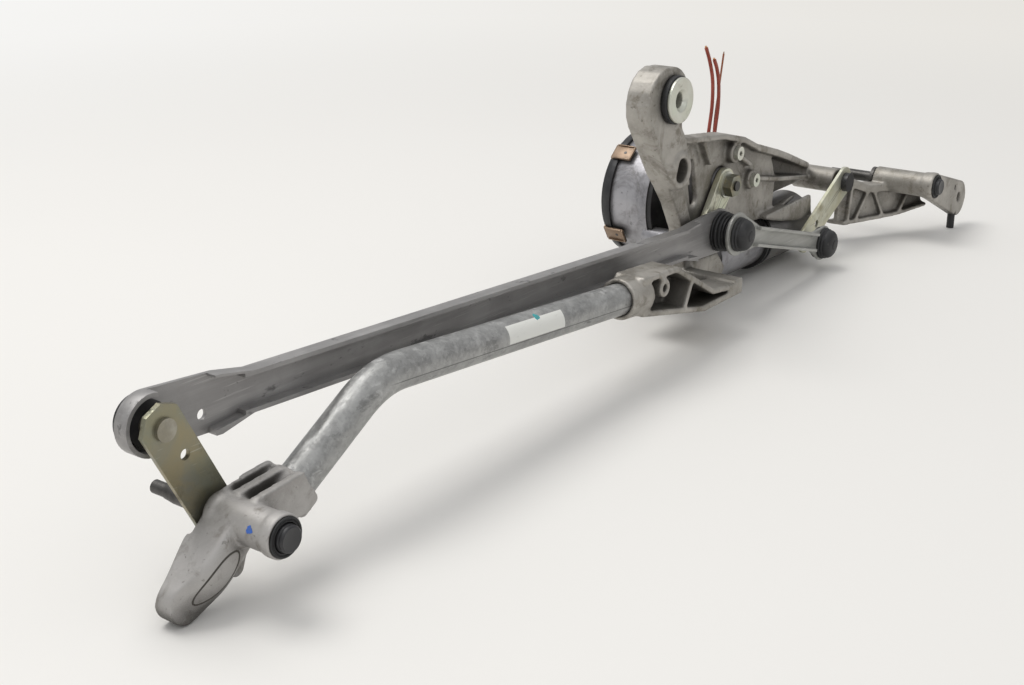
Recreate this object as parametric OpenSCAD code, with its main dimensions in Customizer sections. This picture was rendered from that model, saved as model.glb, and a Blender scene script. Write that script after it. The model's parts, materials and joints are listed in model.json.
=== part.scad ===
// Windscreen wiper linkage with its motor: a cast bracket and a steel tube carry three
// wiper shafts; the motor crank drives two of them through ball-jointed rods.

/* [Linkage] */
// Distance between the two driven wiper shafts along the frame
shaft_spacing = 770; // [755:1:785]
// Left lever, shaft centre to ball centre
left_lever_length = 60; // [56:1:63]
// Right lever, shaft centre to ball centre
right_lever_length = 82; // [79:1:84]
// Motor crank, shaft centre to ball centre
crank_radius = 40; // [38:1:42]

/* [Shafts] */
// Diameter of the wiper shafts
shaft_diameter = 10; // [9:0.5:11]
// Length of shaft standing out behind the lever
shaft_tail = 44; // [40:1:50]
// Outer diameter of the bearing housings
bearing_diameter = 22; // [21:0.5:24]

/* [Ball joints] */
// Diameter of the balls
ball_diameter = 12; // [11:0.5:12.5]
// Outer diameter of the plastic ball sockets
socket_diameter = 27; // [26:0.5:28]

/* [Rods] */
// Height of the channel of the long rod
long_rod_height = 23; // [21:1:25]
// Height of the channel of the short rod
short_rod_height = 16; // [14:1:18]

/* [Frame] */
// Outer diameter of the frame tube
tube_diameter = 22; // [20:0.5:23]
// Wall of the frame tube
tube_wall = 1.5; // [1:0.1:2.5]
// Hole in the sleeve of the rubber mount
mount_hole = 11; // [9:0.5:12]
// Diameter of the larger hole in the end lug
lug_hole = 9; // [7:0.5:10]

/* [Motor] */
// Diameter of the gear housing
gear_diameter = 94; // [90:1:98]
// Diameter of the motor yoke
yoke_diameter = 54; // [50:1:56]
// Length of the motor yoke
yoke_length = 84; // [78:1:88]

/* [Hidden] */
$fn = 64;

// Clearances: running fit on a diameter, free gap between moving pieces, room round the crank balls
run_fit = 0.08;
gap = 0.5;
ball_fit = 0.3;
crank_slack = 5.4;
// Step between the round ends and the flanks of a strip
ease = 0.06;

// Pivots in the plane of the linkage, as length and height
left_axis = [0, 44];
motor_axis = [566, 97];
right_axis = [shaft_spacing, 61];
idler_axis = right_axis + [60, -7];
end_lug = idler_axis + [72, -26];
left_ball = left_axis + left_lever_length * [cos(117), sin(117)];
crank_ball = motor_axis + crank_radius * [cos(230), sin(230)];
right_ball = right_axis + right_lever_length * [cos(207.5), sin(207.5)];
long_angle = atan2(crank_ball[1] - left_ball[1], crank_ball[0] - left_ball[0]);
long_length = norm(crank_ball - left_ball);
short_angle = atan2(right_ball[1] - crank_ball[1], right_ball[0] - crank_ball[0]);
short_length = norm(right_ball - crank_ball);

// Depths, front to back
long_y = 13;
short_y = -4;
lever_t = 3;
right_lever_y = 12;
crank_y = 22.5;
crank_t = 5;
rim_y = 14;
rib_y = rim_y + 6;
back_y = 34;
web_t = 5;
web_y = back_y - web_t;
left_front = -51;
left_rear = -4;
right_front = right_lever_y + lever_t + 4;
right_rear = right_front + 42;
bush_diameter = shaft_diameter + 4;
tube_y = -14;
arm_back = tube_y + 12;

// Frame tube, in the plane at tube_y
tube_start = [44, 46];
tube_rise = 30.5;
tube_fall = -4.7;
tube_first = 76;
tube_second = 255;
bend_radius = 62;

// Bracket outlines
ear_eye = [463, 181];
eye_diameter = 46;
grommet_bore = 30;
sleeve_diameter = 19;
d_boss = [478, 126];
upper_boss = [580, 120];
right_boss = [612, 92];
lower_boss = [508, 62];
// Front of the fan of ribs, which runs back to the right bearing
fan_start = 646;
fan_y = 19;
fan_reach = right_axis[0] - fan_start;
fan_turn = atan2(124 * tan(12), fan_reach);
// Middle of the ear's neck and of the leg below it
ear_neck = (ear_eye + d_boss) / 2;
leg_mid = (d_boss + lower_boss) / 2;
rim = [ear_neck + [15.5, -5.5], [500, 143.5], [528, 140.5], [558, 137], [590, 129], [616, 118], [683, 98],
    [right_axis[0] - 12, right_axis[1] + 13]];

// Foot at the left end and lug at the right end
paddle_tip = [-34, 12];
paddle_width = 24;
lug_width = 34;
buffer_diameter = 7;
buffer_height = 16;
cap_out = 4.8;

// Gear housing and yoke
gear_axis = [546, 86];
gear_front = 56;
gear_back = 90;
yoke_start = [626, 50, 30];
yoke_dip = 1;
neck_length = 30;
neck_root = 54;
gear_wall = 4;
wheel_gap = 1.2;
wheel_diameter = gear_diameter - 2 * (gear_wall + wheel_gap + norm(motor_axis - gear_axis));
// Height of the lower edge of the web, just above the front of the yoke
web_low = yoke_start[2] + yoke_diameter / 2 - 5;

// Shift that puts the middle of the foot area at the origin
low_corner = [paddle_tip[0] - paddle_width / 2, left_front - cap_out];
high_corner = [end_lug[0] + lug_width / 2, right_rear + shaft_tail];
centre = [-(low_corner[0] + high_corner[0]) / 2, -(low_corner[1] + high_corner[1]) / 2, 0];

// Free ends of the cut wires
wire_one_route = [[601, 61, 120], [603, 61, 132], [606, 61, 150], [605, 61, 170],
    [599, 61, 186], [592, 61, 198]];
wire_two_route = [[604, 57, 120], [606, 57, 132], [609, 57, 150], [608, 57, 168],
    [604, 57, 180], [599, 57, 188]];
wire_thin_route = [[608, 60, 120], [610, 60, 140], [612, 59, 160], [613, 58, 176], [614, 57, 191]];

// Shapes drawn as length and height, raised from depth y by t
module slab(y, t) {
    translate([0, y + t, 0]) rotate([90, 0, 0]) linear_extrude(t) children();
}

// Round bar along the depth at a point of the linkage plane
module pin(p, y, len, d) {
    translate([p[0], y, p[1]]) rotate([-90, 0, 0]) cylinder(h = len, d = d);
}

// Turned cone along the depth
module taper(p, y, len, d1, d2) {
    translate([p[0], y, p[1]]) rotate([-90, 0, 0]) cylinder(h = len, d1 = d1, d2 = d2);
}

// Ball on a point of the linkage plane
module ball(p, y, d) {
    translate([p[0], y, p[1]]) sphere(d = d);
}

// Straight strip with round ends
module strip(a, b, w) {
    wedge(a, b, w, w);
}

// Strip that narrows from one round end to the other
module wedge(a, b, wa, wb) {
    translate(a) circle(d = wa);
    translate(b) circle(d = wb);
    translate(a) rotate(atan2(b[1] - a[1], b[0] - a[0]))
        polygon([[0, ease - wa / 2], [norm(b - a), ease - wb / 2], [norm(b - a), wb / 2 - ease],
            [0, wa / 2 - ease]]);
}

// Moves children onto the axis of the yoke, with +Z along it
module on_yoke() {
    translate(yoke_start) rotate([0, 90 + yoke_dip, 0]) children();
}

// Moves children to a rod's own frame: start ball at the origin, length along +X
module on_rod(p, angle) {
    translate([p[0], 0, p[1]]) rotate([0, -angle, 0]) children();
}

// Moves children to the frame of the slanting truss right of the driven shaft
module on_truss() {
    translate([right_axis[0] + 2, back_y - 4, right_axis[1]]) rotate([0, 0, -30]) children();
}

// Ring swept along route points, for a wire
module wire(route, d) {
    n = 8;
    pts = [for (p = route) for (i = [0 : n - 1])
        p + d / 2 * [cos(360 * i / n), sin(360 * i / n), 0]];
    last = len(route) - 1;
    sides = [for (k = [0 : last - 1]) for (i = [0 : n - 1])
        [k * n + i, (k + 1) * n + i, (k + 1) * n + (i + 1) % n, k * n + (i + 1) % n]];
    polyhedron(pts, concat([[for (i = [0 : n - 1]) i]], sides,
        [[for (i = [n - 1 : -1 : 0]) last * n + i]]));
}

// Truss wall, in its own frame: flanges, diagonals and a thin web
module truss() {
    top = [[0, 4], [41, -12], [64, -12.5], [105, -16]];
    low = [[4, -43], [60, -40], [78, -38.5], [107, -33]];
    slab(-2, 4) polygon(concat(top, [for (i = [3 : -1 : 0]) low[i]]));
    for (i = [0 : 2]) slab(-8, 16) strip(top[i], top[i + 1], 8);
    for (i = [0 : 2]) slab(-8, 16) strip(low[i], low[i + 1], 4);
    slab(-8, 12) strip([23, -12], [21, -40], 3);
    slab(-8, 12) strip([41, -16], [29, -41], 3);
    slab(-8, 12) strip([49, -16], [60, -39], 3);
    slab(-8, 12) strip([88, -17], [78, -37], 3);
}

module main_bracket() color([0.66, 0.66, 0.64]) difference() {
    union() {
        // Web behind the crank
        slab(web_y, web_t) polygon([leg_mid + [-9, 6], rim[0], [528, 140], [558, 137], [590, 129],
            [616, 118], [652, 108], [660, 94], [664, 78], [662, web_low], [596, web_low], [566, 62],
            [552, 50], [500, 50], leg_mid + [5, -20]]);
        slab(web_y, web_t) translate(motor_axis) circle(d = 46);
        // Leg below the ear
        slab(rib_y, back_y - rib_y) polygon([d_boss + [-6, -14], d_boss + [-3, -18], leg_mid + [-10, 4],
            leg_mid + [4, -20], [499.8, 50], [511.8, 50], leg_mid + [15, -14], leg_mid + [4, 10],
            d_boss + [15, -13]]);
        // Rim along the top
        for (i = [0 : 4]) slab(rib_y, back_y - rib_y) strip(rim[i], rim[i + 1], 5);
        // Bosses for the screws
        pin(upper_boss, web_y - 7, web_t + 7, 17);
        pin(right_boss, web_y - 6, web_t + 6, 16);
        pin(lower_boss, web_y - 1.5, web_t + 1.5, 16);
        slab(web_y - 7, web_t + 7) strip([606, 106], upper_boss, 4);
        slab(web_y - 7, web_t + 7) strip([528, 138], [540, 119], 4);
        slab(web_y - 4, web_t + 4) strip(d_boss, d_boss + [30, 13], 5);
        // Fan of ribs that runs back to the right bearing
        difference() {
            union() {
                for (i = [5, 6]) slab(rib_y, 30) strip(rim[i], rim[i + 1], 6);
                slab(web_y - 7, 28) strip(right_boss + [11.5, -1.3], right_axis + [-10, 2], 4);
                slab(web_y - 10, 14) strip([636, web_low + 3], right_axis + [-9, -3], 4);
                slab(46, 4) polygon([[640, 110], [683, 98], right_axis + [-4, 11], right_axis + [-4, 0],
                    [640, web_low + 8]]);
                slab(web_y, 21) strip([651, 106], [661, 86], 4);
                slab(web_y, 21) strip([661, 86], [661, web_low + 10], 4);
            }
            translate([fan_start, fan_y, 0]) rotate([0, 0, fan_turn]) translate([-30, -80, 0])
                cube([fan_reach + 96, 80, 200]);
        }
        // Wall in front of the yoke
        slab(web_y - 10, 4) polygon([[636, web_low + 5], [717, 59], [720, 40], [694, 40], [664, 46],
            [640, web_low]]);
        slab(web_y - 10, 14) strip([640, web_low + 3], [656, web_low + 3], 4);
        // Right bearing
        pin(right_axis, right_front, right_rear - right_front, bearing_diameter);
        slab(right_front + 4, 14) polygon([right_axis + [0, -9.5], right_axis + [12, -11],
            right_axis + [12, 8], right_axis + [0, 10]]);
    }
    // Place of the ear
    slab(rim_y - 10, 60) ear_outline();
    pin(d_boss, rim_y - 10, 60, 27);
    // Bores and holes
    pin(motor_axis, web_y - 5, 20, 26.6);
    slab(web_y - 5, 20) strip([520, 119], [526, 92], 11);
    pin(right_axis, right_front - 5, 60, bush_diameter);
    for (b = [upper_boss, right_boss, lower_boss]) pin(b, web_y - 12, 40, 6);
    pin(lower_boss, rim_y, web_y - 1.5 - rim_y, 12.5);
}

// Outline of the mounting ear
module ear_outline() {
    top = [[3, 22], [-8, 23.5], [-17, 21], [-25, 15.5], [-30, 8], [-32.5, -1], [-32, -10], [-28.5, -18]];
    foot = [[-16, -3], [-6, -14], [16, -14], [12, 0]];
    polygon(concat([for (q = top) ear_eye + q], [ear_neck + [-28.5, -1.5]], [for (q = foot) d_boss + q],
        [rim[0], ear_neck + [8.5, 4.5], ear_eye + [15, -15]]));
}

// Mounting ear with the large boss below its eye
module bracket_ear() color([0.66, 0.66, 0.64]) difference() {
    union() {
        slab(rim_y, back_y - rim_y) ear_outline();
        pin(ear_eye, rim_y, back_y - rim_y, eye_diameter);
        pin(d_boss, rim_y - 2, back_y - rim_y + 2, 27);
    }
    pin(ear_eye, rim_y - 5, 40, grommet_bore);
    // Deep D-shaped recess of the large boss
    intersection() {
        pin(d_boss, rim_y - 5, 15, 18);
        slab(rim_y - 5, 15) translate(d_boss) rotate(-20) translate([-6.3, -12]) square([20, 24]);
    }
    pin(d_boss, rim_y + 2, 40, 6);
}

// Foot of the bracket: plate below the crank and floor that passes under the long rod
module bracket_foot() color([0.64, 0.64, 0.62]) {
    slab(web_y, web_t) polygon([[500, 50], [500, 34], [516, 26], [552, 30], [552, 44], [546, 50]]);
    slab(rib_y, back_y - rib_y) polygon([[499.8, 50], [501, 34], [508, 20], [560, 20], [566, 30],
        [552, 45], [513, 48], [511.8, 50]]);
    translate([452, arm_back, 31]) cube([58, back_y - arm_back, 5]);
    translate([498, arm_back, 31]) cube([12, back_y - arm_back, 12]);
}

// Ribbed arm that holds the tube
module bracket_arm() color([0.66, 0.66, 0.64]) difference() {
    union() {
        slab(arm_back - 4, 4) polygon([[364, 76], [364, 51], [452, 31], [510, 31], [510, 38], [464, 46],
            [414, 75]]);
        slab(arm_back - 24, 24) strip([368, 52], [454, 33], 4.5);
        slab(arm_back - 24, 24) strip([368, 76], [412, 73], 4.5);
        slab(arm_back - 24, 24) strip([412, 73], [466, 43], 4.5);
        slab(arm_back - 24, 24) strip([466, 43], [504, 38], 4.5);
        slab(arm_back - 24, 24) strip([424, 40], [434, 60], 3.5);
        translate([452, arm_back - 24, 31]) cube([58, 24, 5]);
        translate([498, arm_back - 24, 31]) cube([12, 24, 12]);
        pin([392, 65], arm_back - 26, 26, 13);
        // Tube socket
        tube_end() translate([0, 0, -12]) cylinder(h = 26, d = tube_diameter + 7);
    }
    tube_end() translate([0, 0, -20]) cylinder(h = 20, d = tube_diameter);
    tube_end() cylinder(h = 20, d = tube_diameter - 4);
    pin([392, 65], arm_back - 30, 18, 6);
}

// Slanting truss with the idler bearing and the end lug
module bracket_truss() color([0.66, 0.66, 0.64]) difference() {
    union() {
        on_truss() truss();
        pin(idler_axis, left_front, 58, bearing_diameter);
        pin(idler_axis, left_front, 6, bearing_diameter + 3);
        slab(left_front + 3, 8) wedge(idler_axis, end_lug, 24, lug_width);
        slab(left_front + 3, 28) strip(idler_axis + [8, -6], idler_axis + [52, -18], 5);
    }
    // Flat seat on the right bearing, room for the lever hub
    translate([right_axis[0] - 40, -60, 0]) cube([52, 160, 140]);
    pin(right_axis, -20, 38, 30);
    // Bores and holes
    pin(idler_axis, left_front - 5, 90, bush_diameter);
    pin(idler_axis, left_front - 5, 9, 19.4);
    pin(idler_axis, 7, 60, bush_diameter + 10);
    pin(idler_axis + [71, -24.5], left_front - 5, 30, lug_hole);
    pin(idler_axis + [60, -13], left_front - 5, 30, 5);
    translate([end_lug[0] - 6, left_front + 7, 0]) cylinder(h = buffer_height, d = buffer_diameter + 0.1);
}

// Rubber buffer under the end lug
module lug_buffer() color([0.07, 0.07, 0.07]) {
    translate([end_lug[0] - 6, left_front + 7, 0]) cylinder(h = buffer_height, d = buffer_diameter);
}

// Frame of the right end of the tube, with +Z along the tube towards the bracket
module tube_end() {
    end = tube_start + tube_first * [cos(tube_rise), sin(tube_rise)]
        + tube_second * [cos(tube_fall), sin(tube_fall)];
    translate([end[0], tube_y, end[1]]) rotate([0, 90 - tube_fall, 0]) children();
}

module frame_tube() color([0.6, 0.62, 0.64]) {
    turn = tube_rise - tube_fall;
    cut = bend_radius * tan(turn / 2);
    corner = tube_start + tube_first * [cos(tube_rise), sin(tube_rise)];
    hub = tube_start + (tube_first - cut) * [cos(tube_rise), sin(tube_rise)]
        + bend_radius * [sin(tube_rise), -cos(tube_rise)];
    socket_end() linear_extrude(tube_first - cut) tube_section();
    translate([hub[0], tube_y, hub[1]]) rotate([90, 0, 0]) rotate(90 + tube_fall)
        rotate_extrude(angle = turn) translate([bend_radius, 0]) tube_section();
    translate([corner[0], tube_y, corner[1]]) rotate([0, 90 - tube_fall, 0]) translate([0, 0, cut])
        linear_extrude(tube_second - cut) tube_section();
    // Rings inside the tube at both ends of the bend
    socket_end() translate([0, 0, tube_first - cut - 3]) linear_extrude(6) inner_ring();
    translate([corner[0], tube_y, corner[1]]) rotate([0, 90 - tube_fall, 0]) translate([0, 0, cut - 3])
        linear_extrude(6) inner_ring();
}

// Cut through a ring inside the tube
module inner_ring() {
    difference() {
        circle(d = tube_diameter - tube_wall);
        circle(d = tube_diameter - 2 * tube_wall - 1.6);
    }
}

// Cut through the frame tube
module tube_section() {
    difference() {
        circle(d = tube_diameter);
        circle(d = tube_diameter - 2 * tube_wall);
    }
}

module left_housing() color([0.62, 0.62, 0.6]) difference() {
    union() {
        pin(left_axis, left_front, left_rear - left_front, bearing_diameter);
        pin(left_axis, left_front, 7, bearing_diameter + 2);
        pin(left_axis, left_rear - 6, 6, bearing_diameter + 2);
        // Arm to the tube with two pockets between its ribs
        translate([left_axis[0], tube_y, left_axis[1]]) rotate([0, -5, 0]) {
            translate([4, -15, -12]) cube([36, 5, 24]);
            translate([4, -3, -12]) cube([36, 6, 24]);
            translate([4, 8, -12]) cube([36, 4, 24]);
            translate([4, -15, -12]) cube([36, 27, 5]);
        }
        socket_end() translate([0, 0, -12]) cylinder(h = 16, d = tube_diameter + 8);
        socket_end() translate([0, 0, -12]) cylinder(h = 34, d = tube_diameter - 2 * tube_wall);
        // Paddle foot
        intersection() {
            slab(tube_y - 13, 28) wedge(left_axis + [-3, -4], paddle_tip, 21, paddle_width);
            translate([paddle_tip[0], tube_y + 1, paddle_tip[1]]) rotate([0, -42, 0]) rotate([0, 90, 0])
                linear_extrude(140, center = true) circle(d = 31);
        }
        slab(tube_y - 14, 6) wedge([-12, 30], paddle_tip + [1, 1], 10, paddle_width - 10);
        slab(tube_y - 8, 12) wedge(left_axis, [-6, 20], 16, 10);
    }
    pin(left_axis, left_front - 5, 80, bush_diameter);
    pin(left_axis, left_front - 5, 9, 19.4);
    pin(left_axis, left_rear, 12, bearing_diameter + 18);
    socket_end() difference() {
        cylinder(h = 30, d = tube_diameter + 20);
        translate([0, 0, -1]) cylinder(h = 40, d = tube_diameter - 2 * tube_wall);
    }
    translate([-80, -60, -40]) cube([120, 60, 40]);
}

// Frame of the left end of the tube, with +Z along the tube
module socket_end() {
    translate([tube_start[0], tube_y, tube_start[1]]) rotate([0, 90 - tube_rise, 0]) children();
}

// Bearing sleeve of sintered bronze
module bush(p, y0, y1) color([0.62, 0.5, 0.3]) difference() {
    pin(p, y0, y1 - y0, bush_diameter);
    pin(p, y0 - 1, y1 - y0 + 2, shaft_diameter + run_fit);
}

module left_bush() bush(left_axis, left_front + 4, left_rear);

module right_bush() bush(right_axis, right_front, right_rear);

module idler_bush() bush(idler_axis, left_front + 4, 7);

// Black sealing ring in the mouth of a bearing
module seal(p) color([0.08, 0.08, 0.08]) difference() {
    pin(p, left_front - 1, 5, 19.4);
    pin(p, left_front - 2, 8, 15 + 2 * gap);
}

module left_seal() seal(left_axis);

module idler_seal() seal(idler_axis);

module mount_grommet() color([0.07, 0.07, 0.07]) difference() {
    union() {
        pin(ear_eye, rim_y, back_y - rim_y, grommet_bore);
        pin(ear_eye, rim_y - 5, 5, 35);
        pin(ear_eye, back_y, 5, 35);
    }
    pin(ear_eye, rim_y - 10, 50, sleeve_diameter);
}

module mount_sleeve() color([0.75, 0.78, 0.68]) difference() {
    union() {
        pin(ear_eye, rim_y - 5, back_y - rim_y + 12, sleeve_diameter);
        pin(ear_eye, rim_y - 7.5, 2.5, 33);
    }
    pin(ear_eye, rim_y - 12, 60, mount_hole);
    taper(ear_eye, rim_y - 7.6, 3, mount_hole + 6, mount_hole);
}

module gear_housing() color([0.68, 0.69, 0.7]) difference() {
    union() {
        pin(gear_axis, gear_front, gear_back - gear_front, gear_diameter);
        pin(motor_axis, web_y - 1, gear_front - web_y + 3, 26);
        pin(motor_axis, back_y, gear_front - back_y + 2, 44);
        for (b = [upper_boss, right_boss, lower_boss]) pin(b, back_y, gear_front - back_y + 4, 16);
        slab(gear_front, 12) strip(right_boss, gear_axis, 16);
        on_yoke() translate([0, 0, -neck_root]) cylinder(h = neck_root + neck_length, d = yoke_diameter - 6);
        slab(back_y + 4, 19) strip([572, 54], [562, 70], 30);
    }
    // Room for the wheel and the worm
    pin(gear_axis, gear_front + 5, 50, gear_diameter - 2 * gear_wall);
    pin(motor_axis, web_y - 5, 60, shaft_diameter + 2 + run_fit);
    on_yoke() translate([0, 0, -40]) cylinder(h = 100, d = 26);
    for (b = [upper_boss, right_boss, lower_boss]) pin(b, back_y - 1, 16, 5);
}

// Dark sealing sheet on the front of the gear housing
module gear_gasket() color([0.05, 0.05, 0.05]) difference() {
    pin(gear_axis, gear_front - 4, 4, gear_diameter - 2);
    slab(gear_front - 10, 20) translate([motor_axis[0] - 25, 0]) square([100, 200]);
    pin(lower_boss, back_y, 40, 18);
}

module gear_cover() color([0.06, 0.06, 0.065]) {
    pin(gear_axis, gear_back, 4, gear_diameter + 4);
    pin(gear_axis, gear_back + 4, 5, gear_diameter - 6);
    pin(gear_axis + [10, 6], gear_back + 9, 3, 40);
    difference() {
        pin(gear_axis, gear_back - 1.5, 1.5, gear_diameter + 4);
        pin(gear_axis, gear_back - 3, 4, gear_diameter);
    }
}

// Spring clip over the edge of the cover
module clip(a) color([0.72, 0.45, 0.3]) translate([gear_axis[0], 0, gear_axis[1]]) rotate([0, -a, 0]) {
    translate([gear_diameter / 2 + 2, gear_back - 13, -8]) cube([1.5, 18.5, 16]);
    translate([gear_diameter / 2 - 3, gear_back + 4, -8]) cube([6.5, 1.5, 16]);
}

module upper_clip() clip(131);

module lower_clip() clip(212);

module plug_shell() color([0.07, 0.07, 0.075]) difference() {
    translate([552, gear_front + 2, 0]) cube([58, gear_back - gear_front + 4, 46]);
    pin(gear_axis, gear_front - 1, 60, gear_diameter + 4);
    translate([556, gear_front - 3, 5]) cube([50, 26, 24]);
    on_yoke() translate([0, 0, -60]) cylinder(h = 140, d = yoke_diameter + 3);
}

module motor_yoke() color([0.5, 0.51, 0.52]) on_yoke() difference() {
    union() {
        translate([0, 0, neck_length]) cylinder(h = yoke_length - 8, d = yoke_diameter);
        translate([0, 0, neck_length + yoke_length - 8])
            cylinder(h = 5, d1 = yoke_diameter, d2 = yoke_diameter - 9);
        translate([0, 0, neck_length + yoke_length - 3]) cylinder(h = 3, d = 22);
    }
    translate([0, 0, neck_length - 1]) cylinder(h = yoke_length - 9, d = yoke_diameter - 5);
    translate([0, 0, neck_length]) cylinder(h = yoke_length - 3, d = 8 + run_fit);
}

module yoke_band() color([0.06, 0.06, 0.06]) on_yoke() difference() {
    union() {
        translate([0, 0, neck_length - 9]) cylinder(h = 3, d = yoke_diameter);
        translate([0, 0, neck_length - 6]) cylinder(h = 6, d = yoke_diameter - 3);
        translate([0, 0, neck_length - 3]) cylinder(h = 3, d = yoke_diameter);
    }
    translate([0, 0, neck_length - 12]) cylinder(h = 16, d = yoke_diameter - 6);
}

module yoke_magnets() color([0.2, 0.2, 0.22]) on_yoke() difference() {
    translate([0, 0, neck_length + 14]) cylinder(h = 50, d = yoke_diameter - 5);
    translate([0, 0, neck_length]) cylinder(h = 90, d = yoke_diameter - 15);
}

module wire_grommet() color([0.07, 0.07, 0.07]) difference() {
    translate([596, 52, 94]) cube([17, 15, 26]);
    pin(right_boss, back_y, gear_front - back_y + 4, 16);
    slab(gear_front - 10, 40) strip(right_boss, gear_axis, 16);
}

// Screw with a round recess, head to the front
module screw(p, y) color([0.55, 0.55, 0.53]) difference() {
    union() {
        pin(p, y - 3.5, 3.5, 11);
        pin(p, y, 20, 5);
    }
    pin(p, y - 4, 2.5, 5);
}

module upper_screw() screw(upper_boss, web_y - 7);

module right_screw() screw(right_boss, web_y - 6);

module lower_screw() screw(lower_boss, web_y - 1.5);

module boss_screw() screw(d_boss, rim_y + 10);

module armature() color([0.45, 0.32, 0.2]) on_yoke() {
    translate([0, 0, -30]) cylinder(h = neck_length + yoke_length + 26, d = 8);
    translate([0, 0, -24]) cylinder(h = 36, d = 11);
    translate([0, 0, neck_length + 16]) cylinder(h = 46, d = yoke_diameter - 18);
    translate([0, 0, neck_length + 2]) cylinder(h = 10, d = 20);
}

module output_shaft() color([0.4, 0.4, 0.4]) {
    pin(motor_axis, crank_y + crank_t, gear_back - crank_y - crank_t - 6, shaft_diameter + 2);
    pin(motor_axis, crank_y - 10, crank_t + 10, shaft_diameter - 2);
}

module worm_wheel() color([0.85, 0.82, 0.72]) difference() {
    union() {
        pin(motor_axis, gear_front + 8, 14, wheel_diameter - 4);
        slab(gear_front + 8, 14) for (i = [0 : 29]) translate(motor_axis) rotate(i * 12)
            translate([wheel_diameter / 2 - 3, -1]) square([3, 2]);
    }
    pin(motor_axis, gear_front, 40, shaft_diameter + 2);
    for (i = [0 : 5]) pin(motor_axis + 0.3 * wheel_diameter * [cos(60 * i), sin(60 * i)], gear_front, 40, 5);
}

module crank_arm() color([0.72, 0.68, 0.5]) difference() {
    slab(crank_y, crank_t) wedge(motor_axis, crank_ball, 26, 22);
    pin(motor_axis, crank_y - 5, 20, shaft_diameter - 2);
    pin(crank_ball, crank_y - 5, 20, 9);
}

module crank_washer() color([0.7, 0.7, 0.66]) difference() {
    pin(motor_axis, crank_y - 1.5, 1.5, 21);
    pin(motor_axis, crank_y - 4, 8, shaft_diameter - 2);
}

module crank_nut() color([0.68, 0.66, 0.52]) difference() {
    translate([motor_axis[0], crank_y - 8.5, motor_axis[1]]) rotate([-90, 0, 0])
        cylinder(h = 7, d = 18.5, $fn = 6);
    pin(motor_axis, crank_y - 12, 16, shaft_diameter - 2);
}

module crank_stud() color([0.6, 0.6, 0.58]) {
    pin(crank_ball, crank_y - 2, 2, 15);
    pin(crank_ball, short_y, crank_y + crank_t - short_y, 7);
    pin(crank_ball, crank_y, crank_t, 9);
    pin(crank_ball, crank_y + crank_t, 1, 12);
    ball(crank_ball, long_y, ball_diameter);
    ball(crank_ball, short_y, ball_diameter);
}

// Wiper shaft: plain length, cone and a plain thinner end for the wiper arm
module shaft(p, y0, y1) color([0.2, 0.19, 0.18]) {
    pin(p, y0, y1 - y0 - 17, shaft_diameter);
    taper(p, y1 - 17, 7, shaft_diameter, shaft_diameter - 1.6);
    pin(p, y1 - 10, 10, shaft_diameter - 2.4);
}

module left_shaft() shaft(left_axis, left_front - 2, shaft_tail);

module right_shaft() shaft(right_axis, right_lever_y - 2, right_rear + shaft_tail);

module idler_shaft() shaft(idler_axis, left_front - 2, shaft_tail + 8);

// Cap pressed on the front end of a shaft
module cap(p) color([0.1, 0.1, 0.1]) difference() {
    union() {
        pin(p, left_front - 4, 7.4, 15);
        pin(p, left_front - cap_out, cap_out - 4, 11);
    }
    pin(p, left_front - 2, 20, shaft_diameter);
}

module left_cap() cap(left_axis);

module idler_cap() cap(idler_axis);

module idler_clip() color([0.25, 0.25, 0.25]) difference() {
    pin(idler_axis, 7 + gap, 3, shaft_diameter + 10);
    pin(idler_axis, 5, 8, shaft_diameter);
}

module left_lever() color([0.7, 0.66, 0.45]) difference() {
    slab(-lever_t / 2, lever_t) {
        strip(left_axis, left_ball, 25);
        translate(left_ball) rotate(117 + 22.5) circle(d = 27, $fn = 8);
    }
    pin(left_axis, -10, 20, shaft_diameter);
    pin(left_ball, -10, 20, 8);
    pin(left_ball + (left_axis - left_ball) * 0.34 + [2, 1], -10, 20, 6);
}

module left_stud() color([0.55, 0.53, 0.42]) {
    pin(left_ball, -lever_t / 2 - 2, 2, 12);
    pin(left_ball, -lever_t / 2, lever_t, 8);
    pin(left_ball, lever_t / 2, 2, 14);
    pin(left_ball, lever_t / 2, long_y - lever_t / 2, 7);
    ball(left_ball, long_y, ball_diameter);
}

module right_lever() color([0.78, 0.75, 0.56]) difference() {
    slab(right_lever_y, lever_t) wedge(right_axis, right_ball, 27, 23);
    pin(right_axis, right_lever_y - 10, 20, shaft_diameter);
    pin(right_ball, right_lever_y - 10, 20, 8);
    pin(right_ball + (right_axis - right_ball) * 0.27, right_lever_y - 10, 20, 7);
}

module right_stud() color([0.6, 0.58, 0.5]) {
    pin(right_ball, right_lever_y + lever_t, 2, 12);
    pin(right_ball, right_lever_y, lever_t, 8);
    pin(right_ball, right_lever_y - 2, 2, 14);
    pin(right_ball, short_y, right_lever_y - short_y, 7);
    ball(right_ball, short_y, ball_diameter);
}

module right_cap() color([0.12, 0.12, 0.12]) difference() {
    pin(right_axis, right_lever_y - 5, 5, 17);
    pin(right_axis, right_lever_y - 2, 8, shaft_diameter);
}

// Outline of the long rod: flat eyes, waist and channel
module long_outline() {
    h = long_rod_height;
    circle(d = 33);
    translate([long_length, 0]) circle(d = 35);
    polygon([[0, -16.5], [44, -17], [66, -h / 2], [long_length - 62, -h / 2], [long_length - 34, -17.5],
        [long_length, -17.5], [long_length, 17.5], [long_length - 34, 15], [long_length - 62, h / 2],
        [66, h / 2], [44, 15], [0, 16.5]]);
}

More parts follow.
